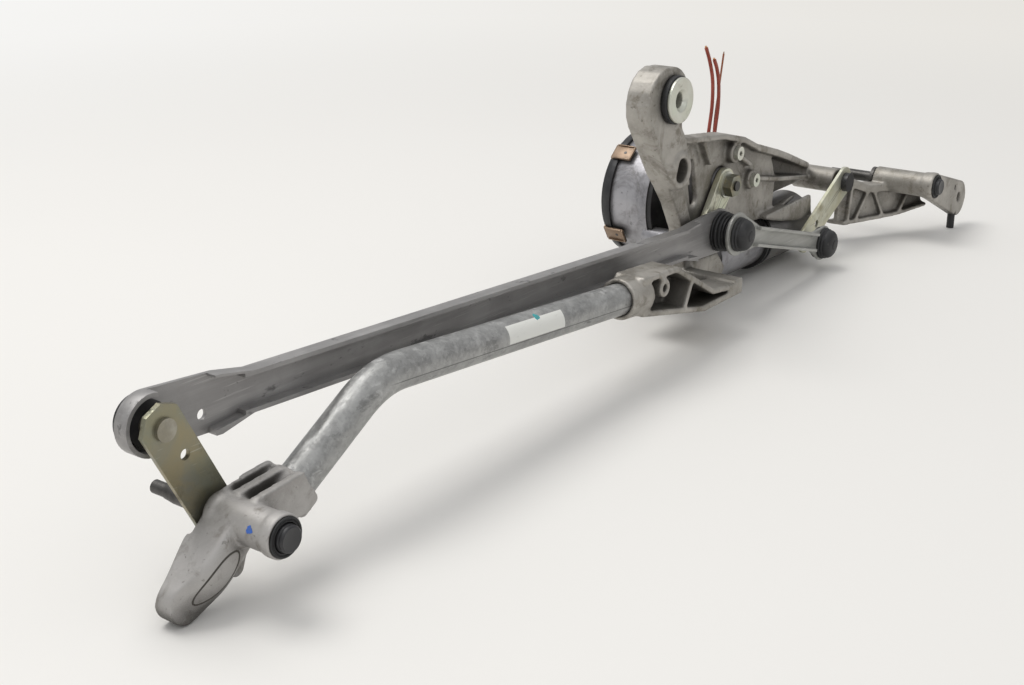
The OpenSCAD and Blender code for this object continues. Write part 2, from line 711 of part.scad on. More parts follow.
module long_rod() color([0.5, 0.5, 0.49]) on_rod(left_ball, long_angle) difference() {
    union() {
        slab(long_y, 2.5) long_outline();
        slab(long_y - 6.5, 9) intersection() {
            difference() {
                circle(d = 33);
                circle(d = 28.5);
            }
            polygon([[-20, -20], [9, -20], [6, 0], [3, 20], [-20, 20]]);
        }
        for (s = [-1, 1]) slab(long_y - 6.5, 9) intersection() {
            long_outline();
            polygon([[40, s * 14], [66, s * (long_rod_height / 2 - 1)], [long_length - 62,
                s * (long_rod_height / 2 - 1)], [long_length - 42, s * 12], [long_length - 42, s * 30],
                [40, s * 30]]);
        }
        for (s = [-1, 1]) slab(long_y - 6.5, 9) translate([60, s * (long_rod_height / 2 - 1.25) - 1.25])
            square([long_length - 118, 2.5]);
    }
    pin([0, 0], long_y - 20, 40, socket_diameter - 5);
    pin([long_length, 0], long_y - 20, 40, socket_diameter - 5);
    pin([36, -6], long_y - 20, 40, 6);
}

// Body of a plastic socket: a groove holds the edge of the rod eye
module socket_body(eye_d, y, t, front, back, front_d = socket_diameter) {
    pin([0, 0], y - front, front + back, eye_d);
    pin([0, 0], y - front, front, front_d);
    pin([0, 0], y + t, back - t, socket_diameter);
}

module long_left_socket() color([0.07, 0.07, 0.07]) on_rod(left_ball, long_angle) difference() {
    union() {
        socket_body(socket_diameter - 5, long_y, 2.5, 3, 7, socket_diameter - 3);
        pin([0, 0], long_y + 7, 2.5, socket_diameter - 8);
    }
    pin([0, 0], long_y - 12, 12 + ball_diameter / 2 + ball_fit, ball_diameter + ball_fit);
}

module long_crank_socket() color([0.07, 0.07, 0.07]) on_rod(left_ball, long_angle)
    translate([long_length, 0, 0])
    difference() {
        socket_body(socket_diameter - 5, long_y, 2.5, 4.5, 6);
        pin([0, 0], long_y - 20, 40, ball_diameter + crank_slack);
    }

module long_boot() color([0.05, 0.05, 0.05]) on_rod(left_ball, long_angle) translate([long_length, 0, 0])
    difference() {
        union() {
            pin([0, 0], long_y - 7, 2.5, socket_diameter + 4);
            pin([0, 0], long_y - 4.5, 1.5, socket_diameter + 2);
            pin([0, 0], long_y - 3, 3, socket_diameter + 5);
        }
        pin([0, 0], long_y - 20, 40, ball_diameter + crank_slack);
        pin([0, 0], long_y - 4.5, 20, socket_diameter);
    }

// Outline of the short rod: large eye, waist, smaller eye
module short_outline() {
    h = short_rod_height;
    circle(d = 34);
    translate([short_length, 0]) circle(d = 30);
    polygon([[0, -17], [36, -h / 2], [short_length - 24, -h / 2], [short_length, -15], [short_length, 15],
        [short_length - 24, h / 2], [36, h / 2], [0, 17]]);
}

module short_rod() color([0.66, 0.66, 0.64]) on_rod(crank_ball, short_angle) difference() {
    union() {
        slab(short_y, 2.5) short_outline();
        for (s = [-1, 1]) slab(short_y - 5, 7.5) translate([28, s * (short_rod_height / 2 - 1.25) - 1.25])
            square([short_length - 48, 2.5]);
    }
    pin([0, 0], short_y - 20, 40, socket_diameter - 5);
    pin([short_length, 0], short_y - 20, 40, socket_diameter - 6);
}

module short_crank_socket() color([0.06, 0.06, 0.065]) on_rod(crank_ball, short_angle) difference() {
    union() {
        socket_body(socket_diameter - 5, short_y, 2.5, 6, 6);
        taper([0, 0], short_y - 10, 4, socket_diameter - 9, socket_diameter);
        pin([0, 0], short_y - 11.5, 2, 9);
    }
    pin([0, 0], short_y - 8, 30, ball_diameter + crank_slack);
}

module short_lever_socket() color([0.06, 0.06, 0.065]) on_rod(crank_ball, short_angle)
    translate([short_length, 0, 0]) difference() {
        union() {
            socket_body(socket_diameter - 6, short_y, 2.5, 6, 6);
            taper([0, 0], short_y - 10, 4, socket_diameter - 9, socket_diameter);
            pin([0, 0], short_y - 11.5, 2, 9);
        }
        ball([0, 0], short_y, ball_diameter + ball_fit);
        pin([0, 0], short_y, 12, ball_diameter + ball_fit);
    }

module wire_one() color([0.45, 0.14, 0.1]) wire(wire_one_route, 3);

module wire_two() color([0.5, 0.16, 0.11]) wire(wire_two_route, 3);

module wire_thin() color([0.42, 0.2, 0.13]) wire(wire_thin_route, 1.6);

translate(centre) main_bracket();
translate(centre) bracket_ear();
translate(centre) bracket_foot();
translate(centre) bracket_arm();
translate(centre) bracket_truss();
translate(centre) lug_buffer();
translate(centre) frame_tube();
translate(centre) left_housing();
translate(centre) left_bush();
translate(centre) right_bush();
translate(centre) idler_bush();
translate(centre) left_seal();
translate(centre) idler_seal();
translate(centre) mount_grommet();
translate(centre) mount_sleeve();
translate(centre) gear_housing();
translate(centre) gear_gasket();
translate(centre) gear_cover();
translate(centre) upper_clip();
translate(centre) lower_clip();
translate(centre) plug_shell();
translate(centre) motor_yoke();
translate(centre) yoke_band();
translate(centre) yoke_magnets();
translate(centre) wire_grommet();
translate(centre) upper_screw();
translate(centre) right_screw();
translate(centre) lower_screw();
translate(centre) boss_screw();
translate(centre) armature();
translate(centre) output_shaft();
translate(centre) worm_wheel();
translate(centre) crank_arm();
translate(centre) crank_washer();
translate(centre) crank_nut();
translate(centre) crank_stud();
translate(centre) left_shaft();
translate(centre) left_lever();
translate(centre) left_stud();
translate(centre) left_cap();
translate(centre) right_shaft();
translate(centre) right_lever();
translate(centre) right_stud();
translate(centre) right_cap();
translate(centre) idler_shaft();
translate(centre) idler_cap();
translate(centre) idler_clip();
translate(centre) long_rod();
translate(centre) long_left_socket();
translate(centre) long_crank_socket();
translate(centre) long_boot();
translate(centre) short_rod();
translate(centre) short_crank_socket();
translate(centre) short_lever_socket();
translate(centre) wire_one();
translate(centre) wire_two();
translate(centre) wire_thin();
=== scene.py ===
"""Dresses the wiper linkage: worn finishes, cut wires, small marks and a pale studio."""

from __future__ import annotations

import json
import logging
import math
from dataclasses import dataclass
from enum import Enum
from typing import Callable, Iterable, Sequence

import bmesh
import bpy
from mathutils import Matrix, Vector

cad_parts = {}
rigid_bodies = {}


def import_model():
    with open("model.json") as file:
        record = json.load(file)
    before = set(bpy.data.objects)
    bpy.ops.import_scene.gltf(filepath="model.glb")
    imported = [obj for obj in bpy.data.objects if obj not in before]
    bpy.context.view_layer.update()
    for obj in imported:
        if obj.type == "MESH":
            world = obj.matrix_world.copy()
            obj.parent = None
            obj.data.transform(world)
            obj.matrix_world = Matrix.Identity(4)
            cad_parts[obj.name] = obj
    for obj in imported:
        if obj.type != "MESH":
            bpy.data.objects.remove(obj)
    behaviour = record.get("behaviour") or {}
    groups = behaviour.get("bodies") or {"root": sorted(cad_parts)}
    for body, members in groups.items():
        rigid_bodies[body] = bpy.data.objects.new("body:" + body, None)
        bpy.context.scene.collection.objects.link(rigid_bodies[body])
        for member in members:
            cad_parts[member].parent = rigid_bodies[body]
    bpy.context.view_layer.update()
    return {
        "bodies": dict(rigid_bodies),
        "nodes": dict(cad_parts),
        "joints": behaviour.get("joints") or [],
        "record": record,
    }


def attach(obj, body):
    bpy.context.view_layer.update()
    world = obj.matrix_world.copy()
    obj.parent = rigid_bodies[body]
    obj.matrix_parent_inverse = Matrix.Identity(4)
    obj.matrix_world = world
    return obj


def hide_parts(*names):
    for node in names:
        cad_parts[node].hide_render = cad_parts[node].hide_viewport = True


LOG = logging.getLogger("wiper_linkage")
Colour = tuple[float, float, float]
SHIFT = Vector((-0.4365, -0.0246, 0.0))


def spot(x: float, y: float, z: float) -> Vector:
    """Row-frame point, in metres, of a drawing point in millimetres from the left shaft."""
    return Vector((x, y, z)) / 1000.0 + SHIFT


def scaled(colour: Colour, share: float) -> Colour:
    """A colour made darker or lighter, white at most."""
    return tuple(min(1.0, c * share) for c in colour)


def linked(name: str, data: bpy.types.ID) -> bpy.types.Object:
    """A new object with that data, in the scene."""
    made = bpy.data.objects.new(name, data)
    bpy.context.scene.collection.objects.link(made)
    return made


# Points of the drawing on the axes of the shafts, the gear housing and the balls
LEFT_SHAFT = (0.0, 0.0, 44.0)
IDLER_SHAFT = (830.0, 0.0, 54.0)
GEAR_AXIS = (546.0, 0.0, 86.0)
CRANK_BALL = (540.289, 0.0, 66.358)
RIGHT_BALL = (697.265, 0.0, 23.137)

# Fall of the tube towards the bracket in degrees, and the bars that patches lie on: start, way, radius
TUBE_FALL = 4.7
TUBE_WAY = (math.cos(math.radians(TUBE_FALL)), 0.0, -math.sin(math.radians(TUBE_FALL)))
TUBE = ((109.483, -14.0, 84.573), TUBE_WAY, 11.0)
BARREL = (LEFT_SHAFT, (0.0, -1.0, 0.0), 11.0)

# Smooth shading breaks at edges over this angle
SHARP_ANGLE = math.radians(35)


class Body(Enum):
    """Bodies that pieces ride on."""

    FRAME = "frame"
    LEFT_LEVER = "left_lever"
    IDLER = "idler"
    LONG_ROD = "long_rod"
    SHORT_ROD = "short_rod"


class Field:
    """A value socket whose arithmetic adds Math nodes."""

    def __init__(self, shader: "Shader", socket: bpy.types.NodeSocket) -> None:
        """Keeps the socket and the shader that it belongs to."""
        self.shader = shader
        self.socket = socket

    def _math(self, operation: str, left: "Field | float", right: "Field | float") -> "Field":
        """Adds one Math node.

        Args:
            operation: name of the Math operation.
            left: first operand.
            right: second operand.

        Returns:
            The result.
        """
        node = self.shader.node("ShaderNodeMath", {"operation": operation}, {0: left, 1: right})
        return Field(self.shader, node.outputs[0])

    def __add__(self, other: "Field | float") -> "Field":
        """Sum."""
        return self._math("ADD", self, other)

    def __radd__(self, other: float) -> "Field":
        """Sum with a number on the left."""
        return self._math("ADD", other, self)

    def __sub__(self, other: "Field | float") -> "Field":
        """Difference."""
        return self._math("SUBTRACT", self, other)

    def __rsub__(self, other: float) -> "Field":
        """Difference with a number on the left."""
        return self._math("SUBTRACT", other, self)

    def __mul__(self, other: "Field | float") -> "Field":
        """Product."""
        return self._math("MULTIPLY", self, other)

    def angle(self, base: "Field") -> "Field":
        """Angle in radians of the point that is base across and self up."""
        return self._math("ARCTAN2", self, base)

    def band(self, low: float, high: float) -> "Field":
        """Smooth step from 0 at low to 1 at high, or down again where low is above high."""
        node = self.shader.node(
            "ShaderNodeMapRange",
            {"interpolation_type": "SMOOTHSTEP", "clamp": True},
            {0: self, 1: low, 2: high, 3: 0.0, 4: 1.0},
        )
        return Field(self.shader, node.outputs[0])


class Shader:
    """One material with its principled shader."""

    def __init__(self, name: str) -> None:
        """Starts an empty material.

        Args:
            name: name of the material.
        """
        self.material = bpy.data.materials.new(name)
        self.material.use_nodes = True
        self.tree = self.material.node_tree
        self.tree.nodes.clear()
        self.bsdf = self.node("ShaderNodeBsdfPrincipled")
        self.output = self.node("ShaderNodeOutputMaterial", {}, {"Surface": self.bsdf.outputs[0]})
        self.place = self.node("ShaderNodeTexCoord").outputs["Object"]

    def node(
        self,
        kind: str,
        settings: dict[str, object] | None = None,
        values: dict[str | int, object] | None = None,
    ) -> bpy.types.Node:
        """Adds a node.

        Args:
            kind: type of the node.
            settings: properties, set first.
            values: values or links of its sockets, by name or number.

        Returns:
            The new node.
        """
        made = self.tree.nodes.new(kind)
        for key, value in (settings or {}).items():
            setattr(made, key, value)
        for key, value in (values or {}).items():
            self.feed(made.inputs[key], value)
        return made

    def feed(self, socket: bpy.types.NodeSocket, value: object) -> None:
        """Links a field or socket to an input, or writes a plain value there."""
        if isinstance(value, Field):
            value = value.socket
        if isinstance(value, bpy.types.NodeSocket):
            self.tree.links.new(value, socket)
        elif socket.type == "RGBA" and len(value) == 3:
            socket.default_value = (*value, 1.0)
        else:
            socket.default_value = value

    def spread(self, stretch: Sequence[float], turn: float, offset: float) -> bpy.types.NodeSocket:
        """Object coordinates, stretched and turned for a pattern.

        Args:
            stretch: scale along the three axes.
            turn: turn about the depth axis in degrees, so that +X follows a rod.
            offset: shift that sets one pattern apart from another.

        Returns:
            A vector socket.
        """
        values = {
            "Vector": self.place,
            "Location": (offset, offset * 0.7, offset * 1.3),
            "Rotation": (0.0, math.radians(turn), 0.0),
            "Scale": tuple(stretch),
        }
        return self.node("ShaderNodeMapping", {}, values).outputs[0]

    def axes(self, x: float, y: float, z: float) -> list[Field]:
        """Distances along the three axes from a point of the drawing, in metres."""
        split = self.node("ShaderNodeSeparateXYZ", {}, {0: self.place}).outputs
        return [Field(self, out) - at for out, at in zip(split, spot(x, y, z))]

    def noise(
        self,
        scale: float,
        detail: float = 3.0,
        rough: float = 0.55,
        stretch: Sequence[float] = (1.0, 1.0, 1.0),
        turn: float = 0.0,
        offset: float = 0.0,
        warp: float = 0.0,
    ) -> Field:
        """Cloudy pattern from 0 to 1, in cells per metre.

        Args:
            scale: cells per metre.
            detail: octaves.
            rough: strength of the finer octaves.
            stretch: scale along the three axes.
            turn: turn about the depth axis in degrees.
            offset: shift of the pattern.
            warp: distortion.

        Returns:
            The pattern.
        """
        values = {
            "Vector": self.spread(stretch, turn, offset),
            "Scale": scale,
            "Detail": detail,
            "Roughness": rough,
            "Distortion": warp,
        }
        return Field(self, self.node("ShaderNodeTexNoise", {}, values).outputs[0])

    def cells(self, scale: float, offset: float) -> Field:
        """Random value for each cell of a pattern, in cells per metre."""
        values = {"Vector": self.spread((1, 1, 1), 0.0, offset), "Scale": scale}
        colour = self.node("ShaderNodeTexVoronoi", {"feature": "F1"}, values).outputs["Color"]
        return Field(self, self.node("ShaderNodeSeparateColor", {}, {0: colour}).outputs[0])

    def hollow(self, distance: float) -> Field:
        """How hidden a point is, from 0 in the open to 1 in a tight corner; the finishes darken their
        corners by it as painted shade.
        """
        node = self.node("ShaderNodeAmbientOcclusion", {"samples": 6}, {"Distance": distance})
        return 1.0 - Field(self, node.outputs["AO"])

    def mix(self, under: object, over: object, factor: object) -> bpy.types.NodeSocket:
        """Colour between two others."""
        node = self.node(
            "ShaderNodeMix", {"data_type": "RGBA", "clamp_factor": True}, {0: factor, 6: under, 7: over}
        )
        return node.outputs[2]

    def bump(self, height: Field, strength: float, distance: float) -> bpy.types.NodeSocket:
        """Normal of a surface with that height over it."""
        values = {"Strength": strength, "Distance": distance, "Height": height}
        return self.node("ShaderNodeBump", {}, values).outputs[0]

    def surface(self, **sockets: object) -> bpy.types.Material:
        """Feeds the principled shader, underscores standing for spaces.

        Returns:
            The finished material.
        """
        for key, value in sockets.items():
            self.feed(self.bsdf.inputs[key.replace("_", " ").title()], value)
        return self.material


@dataclass(frozen=True)
class Finish:
    """A named finish that makes its own material."""

    name: str

    def make(self) -> bpy.types.Material:
        """Builds the material.

        Returns:
            The material.
        """
        raise NotImplementedError


@dataclass(frozen=True)
class CastAlloy(Finish):
    """Die-cast aluminium with stains, painted shade and grime in its corners and a fine grain."""

    light: Colour
    dark: Colour
    stain: Colour
    # Colour and strength of the corner darkening: painted shade, which also stands for grime in the
    # recesses
    shade_and_grime: Colour = (0.036, 0.032, 0.026)
    shade_and_grime_strength: float = 1.0
    smears: float = 1.0
    rough: float = 0.46
    seed: float = 0.0

    def make(self) -> bpy.types.Material:
        """Builds the material.

        Returns:
            The material.
        """
        s = Shader(self.name)
        cloud = s.noise(26.0, 4.0, 0.6, offset=self.seed).band(0.36, 0.66)
        blotch = s.noise(70.0, 5.0, 0.62, offset=self.seed + 3.1, warp=0.6).band(0.54, 0.72)
        fine = s.noise(620.0, 2.0, 0.5, offset=self.seed)
        speck = s.noise(240.0, 3.0, 0.6, offset=self.seed + 7.7).band(0.64, 0.72)
        # Corners and recesses darkened by ambient occlusion: painted shade, with some grime
        corner_shade = (s.hollow(0.030) * 1.45 * self.shade_and_grime_strength).band(0.22, 1.0)
        upright = (1.0, 1.0, 0.22)
        drip = s.noise(120.0, 4.0, 0.6, stretch=upright, offset=self.seed + 5.0).band(0.56, 0.70)
        colour = s.mix(self.light, self.dark, cloud * 0.75)
        colour = s.mix(colour, self.stain, blotch * 0.65)
        smear = s.noise(21.0, 5.0, 0.66, offset=self.seed + 9.0, warp=1.2).band(0.53, 0.64)
        colour = s.mix(colour, scaled(self.stain, 0.7), smear * 0.45 * self.smears)
        colour = s.mix(colour, scaled(self.stain, 0.8), drip * 0.35)
        colour = s.mix(colour, scaled(self.stain, 0.45), speck * 0.5)
        colour = s.mix(colour, scaled(self.light, 1.18), fine.band(0.5, 0.8) * 0.35)
        # Painted shade and grime in the corners
        colour = s.mix(colour, self.shade_and_grime, corner_shade * 0.9)
        relief = fine * 0.6 + s.noise(190.0, 2.0, 0.5, offset=self.seed + 1.0) * 0.8
        return s.surface(
            base_color=colour,
            metallic=0.62 - corner_shade * 0.5,
            roughness=self.rough + blotch * 0.14 + fine * 0.10,
            normal=s.bump(relief, 0.22, 0.0007),
        )


@dataclass(frozen=True)
class Galvanised(Finish):
    """Zinc-dipped steel with a spangle, white bloom and scuffs."""

    light: Colour
    dark: Colour
    bloom: Colour

    def make(self) -> bpy.types.Material:
        """Builds the material.

        Returns:
            The material.
        """
        s = Shader(self.name)
        tint, small = (s.cells(n, n) for n in (250, 640))
        cloud = s.noise(48.0, 5.0, 0.6, offset=1.0).band(0.30, 0.70)
        bloom = s.noise(150.0, 6.0, 0.72, offset=1.7, warp=0.5).band(0.50, 0.68)
        scuff = s.noise(85.0, 5.0, 0.75, stretch=(0.4, 1.0, 1.0), turn=TUBE_FALL, offset=5.2)
        scuff = scuff.band(0.60, 0.68)
        x, y, z = s.axes(*TUBE[0])
        lean = math.radians(TUBE_FALL)
        along = x * math.cos(lean) - z * math.sin(lean)
        round_angle = (y * -1.0).angle(x * math.sin(lean) + z * math.cos(lean))
        seam = round_angle.band(1.74, 1.77) * round_angle.band(1.83, 1.80) * along.band(-0.004, 0.012)
        ends = along.band(-0.018, -0.040) + along.band(0.165, 0.180)
        bent = s.noise(30.0, 2.0, 0.5, offset=3.0).band(0.42, 0.60) * along.band(0.030, -0.010)
        colour = s.mix(self.dark, self.light, tint * 0.30 + small * 0.22 + cloud * 0.48)
        colour = s.mix(colour, self.bloom, bloom * (0.30 + bent * 0.45))
        colour = s.mix(colour, scaled(self.dark, 0.42), scuff * (0.35 + ends * 0.25))
        colour = s.mix(colour, scaled(self.dark, 0.30), seam * 0.7)
        dent = s.noise(62.0, 1.0, 0.4, stretch=(0.55, 1.0, 1.0), turn=TUBE_FALL, offset=6.0)
        dent = dent.band(0.40, 0.62)
        relief = s.noise(420.0, 3.0, 0.6) * 0.12 + bloom * 0.12 + dent * ends * 1.6
        return s.surface(
            base_color=colour,
            metallic=0.70 - bloom * 0.30,
            roughness=0.38 + tint * 0.10 + bloom * 0.16,
            normal=s.bump(relief, 0.55, 0.0012),
        )


@dataclass(frozen=True)
class PressedSteel(Finish):
    """Dull plated sheet steel with rubbed streaks along the rod, dark handling marks and painted shade in
    its corners.
    """

    light: Colour
    dark: Colour
    turn: float
    stain_strength: float = 0.7

    def make(self) -> bpy.types.Material:
        """Builds the material.

        Returns:
            The material.
        """
        s = Shader(self.name)
        streak = s.noise(150.0, 4.0, 0.6, stretch=(0.06, 1.0, 1.0), turn=self.turn).band(0.35, 0.68)
        hair = s.noise(900.0, 2.0, 0.5, stretch=(0.03, 1.0, 1.0), turn=self.turn, offset=2.0)
        cloud = s.noise(30.0, 5.0, 0.65, offset=4.0).band(0.40, 0.68)
        mark = s.noise(85.0, 4.0, 0.62, stretch=(0.5, 1.0, 1.0), turn=self.turn, offset=9.0)
        mark = mark.band(0.62, 0.70)
        # Corners darkened by ambient occlusion: painted shade
        corner_shade = s.hollow(0.009).band(0.40, 1.0)
        pit = s.noise(210.0, 4.0, 0.7, offset=12.0).band(0.66, 0.72)
        colour = s.mix(self.dark, self.light, streak * 0.45 + cloud * 0.45)
        colour = s.mix(colour, scaled(self.dark, 0.30), mark * self.stain_strength)
        colour = s.mix(colour, scaled(self.light, 1.3), hair.band(0.62, 0.75) * 0.45)
        colour = s.mix(colour, scaled(self.dark, 0.35), pit * 0.5)
        # Painted shade in the corners
        colour = s.mix(colour, (0.035, 0.032, 0.030), corner_shade * 0.75)
        relief = hair * 0.5 + s.noise(260.0, 2.0, 0.5) * 0.5
        return s.surface(
            base_color=colour,
            metallic=0.50 - corner_shade * 0.3 - mark * 0.2,
            roughness=0.42 + cloud * 0.12 + mark * 0.2,
            normal=s.bump(relief, 0.12, 0.0004),
        )


@dataclass(frozen=True)
class Passivate(Finish):
    """Yellow passivated zinc, patchy from straw to grey-green and brown, with scratches and painted shade
    in its corners.
    """

    straw: Colour
    green: Colour
    brown: Colour
    brown_share: float = 0.5
    rough: float = 0.34

    def make(self) -> bpy.types.Material:
        """Builds the material.

        Returns:
            The material.
        """
        s = Shader(self.name)
        patch = s.noise(42.0, 4.0, 0.6, warp=0.7).band(0.36, 0.64)
        rust = s.noise(58.0, 5.0, 0.68, offset=3.3, warp=0.4).band(0.60 - 0.14 * self.brown_share, 0.74)
        blush = s.noise(24.0, 2.0, 0.5, offset=8.0).band(0.50, 0.66)
        scratch = s.noise(700.0, 2.0, 0.5, stretch=(0.06, 0.5, 1.0), turn=50.0).band(0.66, 0.74)
        fine = s.noise(540.0, 2.0, 0.5)
        # Corners darkened by ambient occlusion: painted shade
        corner_shade = s.hollow(0.012).band(0.2, 1.0)
        colour = s.mix(self.straw, self.green, patch)
        tinged = tuple(c * k for c, k in zip(self.green, (0.95, 1.02, 0.92)))
        colour = s.mix(colour, tinged, blush * 0.4)
        colour = s.mix(colour, self.brown, rust * 0.7)
        colour = s.mix(colour, (0.60, 0.60, 0.54), scratch * 0.35)
        # Painted shade in the corners
        colour = s.mix(colour, (0.05, 0.042, 0.03), corner_shade * 0.7)
        return s.surface(
            base_color=colour,
            metallic=0.78 - rust * 0.35 - corner_shade * 0.4,
            roughness=self.rough + rust * 0.25 + fine * 0.08,
            normal=s.bump(fine, 0.10, 0.0004),
        )


@dataclass(frozen=True)
class BareMetal(Finish):
    """Turned or drawn metal with faint rings, dulled by oil and dust."""

    light: Colour
    dark: Colour
    metallic: float = 0.85
    rough: float = 0.32
    dust: float = 0.25

    def make(self) -> bpy.types.Material:
        """Builds the material.

        Returns:
            The material.
        """
        s = Shader(self.name)
        rings = s.noise(1100.0, 2.0, 0.5, stretch=(0.12, 1.0, 0.12))
        cloud = s.noise(60.0, 4.0, 0.62, offset=2.2).band(0.38, 0.68)
        dirt = s.noise(130.0, 5.0, 0.66, offset=6.1).band(0.56, 0.74)
        colour = s.mix(self.dark, self.light, cloud * 0.7 + rings * 0.3)
        colour = s.mix(colour, (0.16, 0.14, 0.115), dirt * self.dust)
        return s.surface(
            base_color=colour,
            metallic=self.metallic - dirt * 0.3,
            roughness=self.rough + cloud * 0.10 + dirt * 0.15,
            normal=s.bump(rings, 0.08, 0.0003),
        )


@dataclass(frozen=True)
class Moulded(Finish):
    """Black rubber or plastic with a fine skin, pale patches of dust, painted shade in the corners and
    grey scuffs.
    """

    body: Colour
    rough: float
    dust: float = 0.3
    scuff: float = 0.3

    def make(self) -> bpy.types.Material:
        """Builds the material.

        Returns:
            The material.
        """
        s = Shader(self.name)
        skin = s.noise(1300.0, 2.0, 0.5)
        cloud = s.noise(95.0, 4.0, 0.62, offset=1.4).band(0.44, 0.72)
        rub = s.noise(230.0, 4.0, 0.7, offset=4.4).band(0.64, 0.74)
        # Corners darkened by ambient occlusion: painted shade
        corner_shade = s.hollow(0.010).band(0.25, 1.0)
        pale = tuple(c * 2.2 + 0.03 for c in self.body)
        colour = s.mix(self.body, pale, cloud * self.dust)
        colour = s.mix(colour, (0.20, 0.19, 0.175), rub * self.scuff)
        # Painted shade in the corners
        colour = s.mix(colour, (0.012, 0.011, 0.010), corner_shade * 0.6)
        return s.surface(
            base_color=colour,
            roughness=self.rough + cloud * 0.12 + rub * 0.15,
            normal=s.bump(skin, 0.10, 0.0003),
        )


@dataclass(frozen=True)
class PaperLabel(Finish):
    """Matt label stock, a little yellowed and rubbed."""

    paper: Colour

    def make(self) -> bpy.types.Material:
        """Builds the material.

        Returns:
            The material.
        """
        s = Shader(self.name)
        fibre = s.noise(900.0, 3.0, 0.6)
        rub = s.noise(120.0, 4.0, 0.7, stretch=(0.4, 1.0, 1.0)).band(0.55, 0.72)
        colour = s.mix(self.paper, scaled(self.paper, 0.72), rub * 0.6)
        return s.surface(
            base_color=colour,
            roughness=0.55 + rub * 0.15,
            normal=s.bump(fibre, 0.08, 0.0002),
        )


@dataclass(frozen=True)
class PaintDab(Finish):
    """Thin paint, uneven where it was dabbed on."""

    body: Colour

    def make(self) -> bpy.types.Material:
        """Builds the material.

        Returns:
            The material.
        """
        s = Shader(self.name)
        thin = s.noise(420.0, 3.0, 0.6).band(0.40, 0.72)
        colour = s.mix(self.body, tuple(c * 0.55 + 0.06 for c in self.body), thin)
        return s.surface(
            base_color=colour,
            roughness=0.35 + thin * 0.2,
            normal=s.bump(thin, 0.2, 0.0002),
        )


@dataclass(frozen=True)
class WireCover(Finish):
    """Coloured wire covering with a dull bloom."""

    body: Colour

    def make(self) -> bpy.types.Material:
        """Builds the material.

        Returns:
            The material.
        """
        s = Shader(self.name)
        bloom = s.noise(160.0, 3.0, 0.6, stretch=(1.0, 1.0, 0.3)).band(0.42, 0.74)
        fine = s.noise(1500.0, 2.0, 0.5)
        colour = s.mix(self.body, tuple(min(1.0, c * 1.5 + 0.03) for c in self.body), bloom * 0.55)
        return s.surface(
            base_color=colour,
            roughness=0.34 + bloom * 0.15,
            normal=s.bump(fine, 0.08, 0.0002),
        )


STANDARD = (
    CastAlloy("cast_alloy", (0.45, 0.428, 0.392), (0.25, 0.235, 0.207), (0.160, 0.137, 0.100)),
    CastAlloy(
        "gear_alloy", (0.42, 0.415, 0.435), (0.26, 0.258, 0.275), (0.19, 0.18, 0.175),
        rough=0.36, seed=11.0
    ),
    Galvanised("galvanised_tube", (0.45, 0.45, 0.44), (0.235, 0.235, 0.23), (0.60, 0.60, 0.59)),
    PressedSteel("rod_steel", (0.40, 0.39, 0.385), (0.27, 0.262, 0.258), 3.1),
    PressedSteel("short_rod_steel", (0.50, 0.50, 0.475), (0.32, 0.32, 0.30), 15.0, 0.4),
    BareMetal("bronze", (0.50, 0.37, 0.20), (0.30, 0.21, 0.10)),
    Moulded("black_rubber", (0.016, 0.016, 0.017), 0.52, 0.4, 0.3),
    Passivate("pale_zinc", (0.60, 0.595, 0.52), (0.67, 0.675, 0.61), (0.28, 0.25, 0.17), 0.3, 0.34),
    Moulded("black_plastic", (0.020, 0.020, 0.022), 0.38, 0.25, 0.25),
    BareMetal("copper_clip", (0.36, 0.265, 0.19), (0.22, 0.15, 0.10), 0.6, 0.34),
    BareMetal("yoke_steel", (0.26, 0.25, 0.242), (0.165, 0.159, 0.154), 0.5, 0.42),
    BareMetal("magnet", (0.12, 0.12, 0.13), (0.06, 0.06, 0.065), 0.2, 0.5),
    BareMetal("winding", (0.50, 0.26, 0.12), (0.25, 0.12, 0.06)),
    BareMetal("dark_steel", (0.13, 0.125, 0.12), (0.045, 0.043, 0.04), 0.75, 0.36),
    Moulded("gear_plastic", (0.62, 0.58, 0.46), 0.45, 0.1, 0.1),
    Passivate("yellow_zinc", (0.30, 0.265, 0.17), (0.25, 0.25, 0.205), (0.11, 0.088, 0.052)),
    BareMetal("ball_steel", (0.42, 0.40, 0.34), (0.24, 0.22, 0.17), 0.8, 0.3),
    WireCover("red_wire", (0.30, 0.050, 0.028)),
    WireCover("brown_wire", (0.28, 0.095, 0.045)),
)
FINISHES = {finish.name: finish for finish in STANDARD}
CLEAN_ALLOY = CastAlloy(
    "clean_alloy", (0.47, 0.455, 0.44), (0.33, 0.316, 0.30), (0.22, 0.20, 0.17),
    shade_and_grime_strength=1.25, smears=0.2, rough=0.54, seed=23.0
)
# Near-black finish of the oval line drawn on the paddle's face
LINE = Moulded("scribe_dark", (0.05, 0.044, 0.036), 0.6, 0.2, 0.2)
PALE_LEVER = Passivate(
    "pale_lever", (0.58, 0.56, 0.41), (0.65, 0.65, 0.54), (0.30, 0.26, 0.155), 0.25, 0.34
)
LABEL = PaperLabel("label_paper", (0.74, 0.74, 0.70))
TEAL = PaintDab("teal_paint", (0.04, 0.36, 0.38))
BLUE = PaintDab("blue_paint", (0.03, 0.13, 0.52))


class Paints:
    """Materials by finish, each made once."""

    def __init__(self) -> None:
        """Starts with none made."""
        self._made: dict[str, bpy.types.Material] = {}

    def __call__(self, finish: Finish) -> bpy.types.Material:
        """The material of a finish."""
        if finish.name not in self._made:
            self._made[finish.name] = finish.make()
        return self._made[finish.name]


